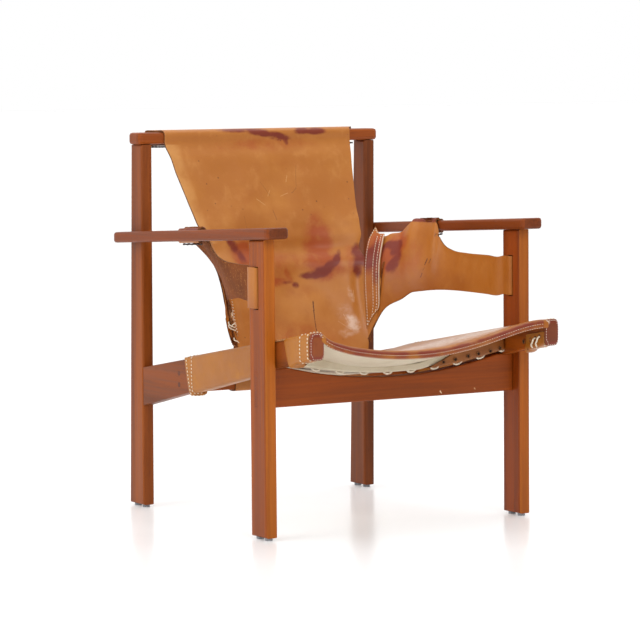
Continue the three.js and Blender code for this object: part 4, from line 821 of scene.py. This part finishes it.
def cord_along(name, paths, radius, square, material=thread_white):
    """Cords as one piece. Each path, in millimetres, is made a smooth curve with a ring of eight points every
    1.2 mm, whose first axis is the cross product of the path's direction and the square one. Two plies show, as the
    radius times one plus 0.14 cos 2(angle - turn), with a full turn in every eight radii."""
    sides, pitch = 8, 0.0012
    angles = np.arange(sides) * 2 * math.pi / sides
    fan = np.array([(0, 1, 2, 3), (0, 3, 4, 7), (4, 5, 6, 7)])
    all_points, all_faces, used = [], [], 0
    for path in paths:
        curve, _, reach = through(placed(path)[:, None], pitch)
        curve = curve[:, 0]
        ahead_of = np.gradient(curve, axis=0)
        ahead_of /= np.linalg.norm(ahead_of, axis=1, keepdims=True)
        beside = np.cross(ahead_of, square)
        beside /= np.maximum(np.linalg.norm(beside, axis=1, keepdims=True), 1e-9)
        over = np.cross(beside, ahead_of)
        ply = radius * (1 + 0.14 * np.cos(2 * (angles - reach[:, None] * 2 * math.pi / (8 * radius))))
        rings = curve[:, None] + ply[..., None] * (
            beside[:, None] * np.cos(angles)[:, None] + over[:, None] * np.sin(angles)[:, None])
        k = used + np.arange(len(curve) * sides).reshape(len(curve), sides)
        walls = np.stack([k[:-1], k[1:], np.roll(k[1:], -1, 1), np.roll(k[:-1], -1, 1)], -1).reshape(-1, 4)
        all_points.append(rings.reshape(-1, 3))
        all_faces += [walls[:, ::-1], k[0][fan], k[-1][fan][:, ::-1]]
        used += len(curve) * sides
    piece = new_piece(name, np.concatenate(all_points), np.concatenate(all_faces))
    piece.data.materials.append(material)
    return piece


for side, (grid, _, row_spans, column_spans, _, _) in wing_sides.items():
    ground = pushed(grid, -hide_thickness - patch_gap - patch_thickness)[row_spans < 3][:, column_spans < 1]
    last_row, last_column = ground.shape[0] - 1, ground.shape[1] - 1
    grid = sampled(ground, patch_v * last_row, patch_width * patch_u * last_column)[:, ::-1]
    grid = grid if side == "right" else other_side(grid)
    patch = hide_sheet("seam_patch_leather_" + side, grid, patch_thickness, (patch_suede, rear_suede, raw_edge))
    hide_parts("seam_patch_" + side)
knots = []
for low, high, out in ((390, 383, 7), (384, 377, 8), (379, 388, 5), (356, 351, 5)):
    sx, sy = (np.interp(low, seam_stations[:, 0], seam_stations[:, k]) for k in (3, 4))
    loop = np.array([(-sx - 1, sy + 8, low), (-sx - out, sy + 4, low + 2), (-sx - out - 1, sy - 1, (low + high) / 2),
                     (-sx - out + 3, sy - 4, high), (-sx + 1, sy - 3, high - 3)])
    knots.append(drawn_in(loop))
cord_along("patch_knots_left", knots, 0.0012, (-0.1, 0.05, 1.0))

# Seat hide
# One hide slung between the side rails: it wraps round each rail in front of and behind the front post and comes
# up inside it. Its front edge is turned down as a band under two rows of stitches, and stitches end the wraps.
rail_front_y, rail_run, under_front_y, under_rear_y = -426, 669.5, -288, 40
rail_top_at = lambda y: 404 + (292 - 404) * (y - rail_front_y) / rail_run
rail_bottom_at = lambda y: 360.5 + (212.5 - 360.5) * (y - rail_front_y) / rail_run
under_edge_at = lambda y: 339.2 + (283.2 - 339.2) * (y - under_front_y) / (under_rear_y - under_front_y)
front_y, front_wrap_y, rear_wrap_y, rear_wrap_end_y, rear_y = -424.8, -335, -238, 55, 62
seat_y = np.concatenate([np.linspace(front_y, front_wrap_y, 4), np.linspace(front_wrap_y, rear_wrap_y, 4)[1:],
                         np.linspace(rear_wrap_y, rear_wrap_end_y, 10)[1:], [rear_y]])
slung = np.array([-0.95, -0.8, -0.6, -0.4, -0.2, 0, 0.2, 0.4, 0.6, 0.8, 0.95])
# The front edge hangs to its own line, lowest left of the middle
front_line = np.array([392.7, 378.5, 368.0, 362.0, 359.8, 361.0, 366.9, 376.0, 388.2, 399.8, 404.3])
front_sag, rear_sag, front_skew = 42, 27, 28
rail_gap, flap_lift, front_flap_lift = 0.3, 9, 12
Y = seat_y[:, None]
top_z, bottom_z = rail_top_at(Y), rail_bottom_at(Y)
flap_z = np.maximum(under_edge_at(Y) + flap_lift, bottom_z + 6) + front_flap_lift * (Y < front_wrap_y + 1)
rear_share = (Y - seat_y[0]) / (rear_y - seat_y[0])
sag = front_sag - (front_sag - rear_sag) * rear_share
skew = front_skew * (1 - rear_share)**2
lie = top_z + rail_gap - (sag - skew * slung) * (1 - slung**2)
lie = lie + (front_line - lie[0]) * (1 - rear_share)**6
wrap_x = np.array([261, 281.8, 283.3, 283.3, 281.8, 259.2, 257.7, 257.7])
wrap_z = np.concatenate([top_z + rail_gap, top_z + rail_gap, top_z - 1.2, bottom_z + 1.2, bottom_z - rail_gap,
                         bottom_z - rail_gap, bottom_z + 1.2, flap_z], axis=1)
middle = np.stack([258 * slung + 0 * Y, Y + 0 * slung, lie], -1)
wrap = np.stack([wrap_x + 0 * Y, Y + 0 * wrap_x, wrap_z], -1)
# The wraps' rear ends are cut on the slant
slant = np.array([0, 0, 0, -18, -20, -26, -28, -34])
rear_last, front_last = len(seat_y) - 2, 3
wrap[rear_last, :, 1] += slant
wrap[front_last, :, 1] += slant * 0.9
seat_rows = np.concatenate([wrap[:, ::-1] * (-1, 1, 1), middle, wrap], axis=1)
band_drop, band_step, seat_pitch = 12.5, 3, 3.6
hem = np.stack([seat_rows[0] - (0, band_step, drop) for drop in (band_drop, band_step)])
seat_rows = np.concatenate([hem, seat_rows])
seat_grid, seat_row_span, seat_column_span, seat_along, seat_across = smoothed(seat_rows, seat_pitch)
total_spans = seat_rows.shape[1] - 1
from_side = np.minimum(seat_column_span[:-1], total_spans - 1 - seat_column_span[:-1])[None, :]
span = seat_row_span[:-1, None]
seat_kept = np.where(span < 2, from_side >= 7, (from_side >= 6) | (span < 5) | ((span >= 8) & (span < 17)))
seat_grid = pushed(seat_grid, hide_thickness)
x, y, z = np.moveaxis(seat_grid, -1, 0)
on_band = (seat_along < 13)[:, None] + 0 * x
at_fold = np.clip(1.3 - np.abs(seat_along[:, None] - 12) / 5, 0, 1)
# The pale, glossy places over the seat's top are a painted sheen: the white surround reflected at a grazing angle
seat_values = {"warm_marks": np.maximum(on_band * 0.25, blots(x, y, [(60, -100, 90, 120, 10, 0.2),
                                                                    (-283, -100, 40, 50, 0, 0.15)])),
               "dark_marks": (0.5 * on_band + 0.3 * at_fold) * (np.abs(x) < 252),
               "wear_and_sheen_marks": blots(x, y, [(90, -230, 300, 240, 0, 0.74), (190, -290, 120, 110, 0, 0.8),
                                          (-40, -60, 170, 110, 0, 0.8)]) * (np.abs(x) < 250)}
seat_grain = grain_leather("seat_grain", ("a9660c", "9c5a08", "b77618"), coat=0.1)
band_edge = cut_edge("band_edge", "c08a58", "8a5a34")
seat_hide = hide_sheet("seat_hide_leather", seat_grid, hide_thickness, (seat_grain, rear_suede, band_edge), seat_kept,
                       (seat_along, seat_across), seat_values)
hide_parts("seat_hide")


def at_span(spans, number):
    """The row or column number of a finer grid at which a station lies, whole or with a fraction of its span."""
    starts = np.append(np.searchsorted(spans, np.arange(spans[-1] + 1)), len(spans) - 1)
    return np.interp(number, np.arange(len(starts)), starts)


round_left = at_span(seat_column_span, np.linspace(1.5, 7.2, 80))
round_right = at_span(seat_column_span, np.linspace(total_spans - 1.5, total_spans - 7.2, 80))
first_end, last_end = seat_along[at_span(seat_row_span, [2, 17]).astype(int)]
wrap_ends = np.interp([first_end + 3, first_end + 31, last_end - 22, last_end - 7], seat_along,
                      np.arange(len(seat_along)))
wrap_lines = [line_on(seat_grid, row, columns) for row in wrap_ends for columns in (round_left, round_right)]
stitched("wrap_stitches", wrap_lines, 0.0074, 0.0046, 0.001, lean=6)
band_columns = at_span(seat_column_span, np.linspace(7.6, total_spans - 7.6, 260))
band_lines = [line_on(seat_grid, at_span(seat_row_span, row), band_columns, 0.0003) for row in (0.1, 0.72)]
stitched("band_stitches", band_lines, 0.0058, 0.003, 0.0005, lean=5)
# The holes' insides are a dark disc: painted shade for their depth
hole_shade = speckled("hole_shade", {"Specular IOR Level": 0.2, "Roughness": 0.85}, 900, 3, ("1d110a", "3a2114"),
                     low=0.3)


def punched(name, centres, squares, radius):
    """Punched holes as one piece. Each is rings of twelve points round its centre, square to a direction: a raised
    rim, whose height over its radius goes 0, 0.5, 0.4 and 0.05 mm, and a dark disc within it, which is painted shade
    for the hole's depth."""
    angles = np.arange(12) * math.pi / 6
    shares, heights = np.array([1.5, 1.3, 1.0, 0.85]), np.array([0.0, 0.5, 0.4, 0.05]) / 1000
    squares = np.asarray(squares, float)
    beside = np.cross(squares, (0.31, 0.23, 0.92))
    beside /= np.linalg.norm(beside, axis=1, keepdims=True)
    over = np.cross(squares, beside)
    ring = beside[:, None] * np.cos(angles)[:, None] + over[:, None] * np.sin(angles)[:, None]
    points = (placed(centres)[:, None, None] + ring[:, None] * shares[:, None, None] * radius
              + squares[:, None, None] * heights[:, None, None])
    k = np.arange(48).reshape(4, 12)
    walls = np.stack([k[:-1], np.roll(k[:-1], -1, 1), np.roll(k[1:], -1, 1), k[1:]], -1).reshape(-1, 4)
    disc = 36 + np.array([(0, 1, 2, 3), (0, 3, 4, 5), (0, 5, 6, 7), (0, 7, 8, 9), (0, 9, 10, 11)])
    faces = np.concatenate([walls, disc])
    count = len(points)
    piece = new_piece(name, points.reshape(-1, 3), (faces + 48 * np.arange(count)[:, None, None]).reshape(-1, 4))
    for material in (raw_edge, hole_shade):
        piece.data.materials.append(material)
    piece.data.polygons.foreach_set("material_index", np.tile(np.repeat([0, 1], (len(walls), len(disc))), count))


hole_spots, hole_x = [(-352, 376), (-222, 344)], 286.7
punched("wrap_holes", [(way * hole_x, y, z) for way in (-1, 1) for y, z in hole_spots],
        np.repeat([(-1, 0, 0), (1, 0, 0)], len(hole_spots), axis=0), 0.0022)
flap_spots = [(-356, 359), (-379, 364.5), (-396, 369), (-411, 373),
              (-111, 311), (-137, 314), (-181, 321), (-216, 328)]
flap_x = 254.2
punched("flap_eyelets", [(way * flap_x, y, z) for way in (1, -1) for y, z in flap_spots],
        np.repeat([(-1, 0, 0), (1, 0, 0)], len(flap_spots), axis=0), 0.0032)

# Tip caps
# A stiff, dark reddish cap closes the front end of each side rail. It is domed a little and sewn on all round, and
# the wrap's pale cut edge shows round it.
cap_x, cap_z, cap_front = (254.2, 286.8), (355.2, 408.0), -429.4
cap_power, cap_dome, cap_lip, cap_thickness = 5.0, 2.2, 2.4, 2.6
cap_u, cap_v = np.meshgrid(np.linspace(-1, 1, 23), np.linspace(-1, 1, 31))
square_radius = np.maximum(np.maximum(np.abs(cap_u), np.abs(cap_v)), 1e-9)
corner = np.abs(cap_u / square_radius)**cap_power + np.abs(cap_v / square_radius)**cap_power
pull = np.maximum(corner, 1)**(-1 / cap_power)
lip = cap_lip * np.clip((square_radius - 0.86) / 0.14, 0, 1)**2
cap_grid = np.stack([(cap_x[0] + cap_x[1]) / 2 + cap_u * pull * (cap_x[1] - cap_x[0]) / 2,
                     cap_front - cap_dome * (1 - square_radius**4) + lip,
                     (cap_z[0] + cap_z[1]) / 2 + cap_v * pull * (cap_z[1] - cap_z[0]) / 2], -1)
cap_leather = grain_leather("cap_leather", ("863e0a", "6a2c06", "9a4e12"))
turn = np.linspace(0, 2 * math.pi, 200)
loop_x, loop_z = (np.sign(wave) * np.abs(wave)**0.4 for wave in (np.cos(turn), np.sin(turn)))
for side, grid in (("right", cap_grid), ("left", other_side(cap_grid))):
    x, y, z = np.moveaxis(grid, -1, 0)
    # The pale spot at each cap's upper inner corner is a painted highlight
    marks = {"wear_and_sheen_marks": blots(x, z, [(258, 402, 9, 7, 0, 1.0), (-262, 402, 5, 4, 0, 0.8)]),
             "dark_marks": 0.6 * np.clip(1.3 - np.abs(square_radius - 0.82) / 0.2, 0, 1)}
    cap = hide_sheet("tip_cap_leather_" + side, grid, cap_thickness, (cap_leather, rear_suede, raw_edge),
                     values=marks)
    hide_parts("tip_cap_" + side)
    line = line_on(grid, 15 * (1 + 0.9 * loop_z), 11 * (1 + 0.86 * loop_x), 0.0003)
    stitched("cap_stitches_" + side, [line], 0.0052, 0.0028, 0.0005, lean=6)

# Seat lining
# Cream canvas sewn in under the seat hide's front edge, clear of the rails. It dips toward the lower layer, so its
# weave shows below the front band, and comes up under the hide again behind.
canvas, lining_pitch = 1.3, 6
lining_dip, dip_front, dip_middle, dip_rear = 22, -424.8, -297, 55
lining_rows = seat_rows[2:-1, 8:-8].copy()
lining_tent = np.interp(lining_rows[..., 1], (dip_front, dip_middle, dip_rear), (0, 1, 0))
lining_rows[..., 2] -= lining_dip * lining_tent * (1 - slung**2)
lining_grid, _, _, lining_along, lining_across = smoothed(lining_rows, lining_pitch)
lining_grid = pushed(lining_grid, -(rail_gap + canvas))[:, ::-1]


def woven_canvas(name, warp, weft, shade):
    """Plain-woven canvas: threads 0.9 mm apart each way in the piece's own lay, over and under in turn as the product
    of the two waves, with slubs and a soft soiling."""
    material, tree, shader, place = finish_of(name, {"Specular IOR Level": 0.2, "Sheen Weight": 0.15})
    lay = add(tree, "ShaderNodeTexCoord").outputs["UV"]
    parted = add(tree, "ShaderNodeSeparateXYZ", {0: lay})
    waves = [add(tree, "ShaderNodeMath", {0: combine(tree, "MULTIPLY", parted.outputs[k], 2 * math.pi / 0.0009)},
                 operation="SINE").outputs[0] for k in (0, 1)]
    weave = combine(tree, "MULTIPLY", waves[0], waves[1])
    slubs = noise(tree, lay, (40, 900, 1), 3)
    soil = noise(tree, place, 14, 4)
    colour = blended(tree, ranged(tree, weave, -0.8, 0.8), paint(weft), paint(warp))
    colour = blended(tree, ranged(tree, slubs, 0.6, 0.75, 0, 0.4), colour, paint(weft))
    feed(tree, shader, {"Base Color": blended(tree, ranged(tree, soil, 0.45, 0.75, 0, 0.6), colour, paint(shade)),
                        "Roughness": ranged(tree, slubs, 0.3, 0.7, 0.8, 0.95),
                        "Normal": bumped(tree, weave, 0.4, 0.0003)})
    return material


cream_canvas = woven_canvas("cream_canvas", "dfd2ba", "cdbfa5", "bdab8c")
lining = hide_sheet("seat_lining_canvas", lining_grid, canvas, (cream_canvas,) * 3,
                    lay=(lining_along, lining_across), ease=0)
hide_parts("seat_lining")

# Lower layer
# Under the seat hangs a second layer, laced between the rails' flaps: canvas on the left, a leather panel on the
# right. The front of each is turned up, and the panel's turn rises toward the rail and holds a row of eyelets.
under_half, under_split, under_pitch = 253.8, 75, 4
under_sag_at = lambda y: 30 + (12 - 30) * (y - under_front_y) / (under_rear_y - under_front_y)
under_at = lambda x, y: under_edge_at(y) - under_sag_at(y) * (1 - (x / under_half)**2)
canvas_right, canvas_lap = 165, 4
canvas_rise = lambda x: np.interp(x, (-250, -200, -120, -60, 60, canvas_right), (28, 23, 14, 10, 13, 22))
canvas_step = lambda x: canvas_lap * np.clip((x - 55) / 18, 0, 1)
panel_rise = lambda x: 1 + 25 * np.clip((x - under_split) / 75, 0, 1)


def under_grid(x0, x1, turn_up, step_over):
    """The lower layer between two places across, as its underside: a front turned up by a height that depends on
    the place, then eight spans to the rear. The step over is how far a place lies up and back, on top of the panel.
    Returns the grid and its distances."""
    across_x = np.linspace(x1, x0, 12)[None, :]
    ys = np.linspace(under_front_y, under_rear_y, 9)[:, None]
    flat = np.stack([across_x + 0 * ys, ys + 0 * across_x, under_at(across_x, ys)], -1)
    rise = turn_up(across_x[0])
    turned = [flat[0] + np.stack([0 * rise, -1.4 + 0 * rise, share * rise + 0.5], -1) for share in (1, 0.5, 0)]
    stepped = step_over(across_x[0])[None, :, None] * (0, 1, 1)
    grid, _, _, along, out = smoothed(np.concatenate([turned, flat]) + stepped, under_pitch)
    return grid, (along, out)


pale_grain = grain_leather("pale_grain", ("96581f", "874b18", "a76a30"))
for name, node, x0, x1, rise, step_over, thick, finishes, slot in (
        ("under_canvas_cloth", "under_canvas", -under_half, canvas_right, canvas_rise, canvas_step, canvas,
         (cream_canvas,) * 3, "canvas"),
        ("under_panel_leather", "under_panel", under_split, under_half, panel_rise, np.zeros_like, hide_thickness,
         (pale_grain, rear_suede, raw_edge), "pale_leather")):
    grid, lay = under_grid(x0, x1, rise, step_over)
    layer = hide_sheet(name, grid, thick, finishes, lay=lay, ease=0)
    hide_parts(node)
eyelet_spots = [(106.6, 319.7), (135.3, 323.1), (166.5, 328.3), (190.6, 332), (219.6, 335.4), (243, 339.7)]
punched("panel_eyelets", [(x, under_front_y - 2.6, z + 2) for x, z in eyelet_spots], [(0, -1, 0)] * len(eyelet_spots),
        0.0032)

# Lacing
# White cord holds the lower layer to the flaps, closes the tips' flaps and ties the back hide's foot, and dark
# lace ties the wings' tabs under the arms and the hide's head under the top rail.
dark_lace = speckled("dark_lace", {"Specular IOR Level": 0.35, "Roughness": 0.6}, 700, 3, ("3b2018", "24120d"))
cord_radius, thin_radius, foot_radius = 0.002, 0.0017, 0.0015
cord_y, cord_lift, hem_step = under_front_y + 6, 3.95, 55
hem_path = [(x + step, cord_y, under_at(x + step, cord_y) + 1.65 + rise * cord_lift)
            for x in np.arange(-198.8, 250, hem_step) for step, rise in ((0, 1), (9, -1), (20, -1), (29, 1))][:-1]
hem_cord = cord_along("hem_cord_white", [hem_path], cord_radius, (0, 1, 0))
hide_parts("hem_cord")
flap_face, zigzag_width = 252.1, 16
odd = lambda count: np.arange(count) % 2
for side, way in (("right", 1), ("left", -1)):
    ys = np.linspace(-230, 32, 16)
    xs = way * (flap_face - zigzag_width * odd(16))
    lacing = cord_along("side_lacing_white_" + side, [np.stack([xs, ys, under_at(xs, ys) - 2.3], -1)], cord_radius,
                        (0, 0, 1))
    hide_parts("side_lacing_" + side)
    ties = [[(way * 255.5, y, z), (way * 251.6, y + 1.5, z - 1.5), (way * 251.4, y + 6, z - 9),
             (way * 252.2, y + 11, rail_bottom_at(y) + 1), (way * 256.5, y + 13, rail_bottom_at(y) - 5)]
            for y, z in flap_spots[2:4]]
    ties = cord_along("tip_lacing_white_" + side, ties, thin_radius, (1, 0, 0.01))
    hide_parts("tip_lacing_" + side)
    ys = np.linspace(-20, 61, 10)
    tab_zigzag = np.stack([way * (tab_slot_x - 3.3 - 4 * odd(10)), ys, arm_top_at(ys) - 22 - 5.8 - 1.2 * odd(10)], -1)
    tab_lace = cord_along("tab_lacing_dark_" + side, [tab_zigzag], thin_radius, (0, 0, 1), dark_lace)
    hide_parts("tab_lacing_" + side)
head_edge_y, head_lace_inset, head_lace_width, head_lace_z = 279.3, 7, 12.3, 744.3
xs = np.linspace(-242, 242, 26)
head_zigzag = np.stack([xs, head_edge_y - hide_thickness - head_lace_inset - head_lace_width * odd(26),
                        head_lace_z + 0 * xs], -1)
head_lace = cord_along("top_lacing_dark", [head_zigzag], thin_radius, (0, 0, 1), dark_lace)
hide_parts("top_lacing")
foot_depth, cross_top = 103.8, 308.0
foot_loops = [(x0 + step, foot_depth + back, z) for x0 in np.linspace(-152, 152, 8)[:-1]
              for step, back, z in ((0, 0, 272), (10.9, 0, cross_top + 1.2), (21.7, -8.8, cross_top + 3),
                                    (32.6, 0, cross_top + 1.2))]
foot_lace = cord_along("foot_lacing_white", [foot_loops], foot_radius, (0.05, 0.3, 0.9))
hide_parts("foot_lacing")
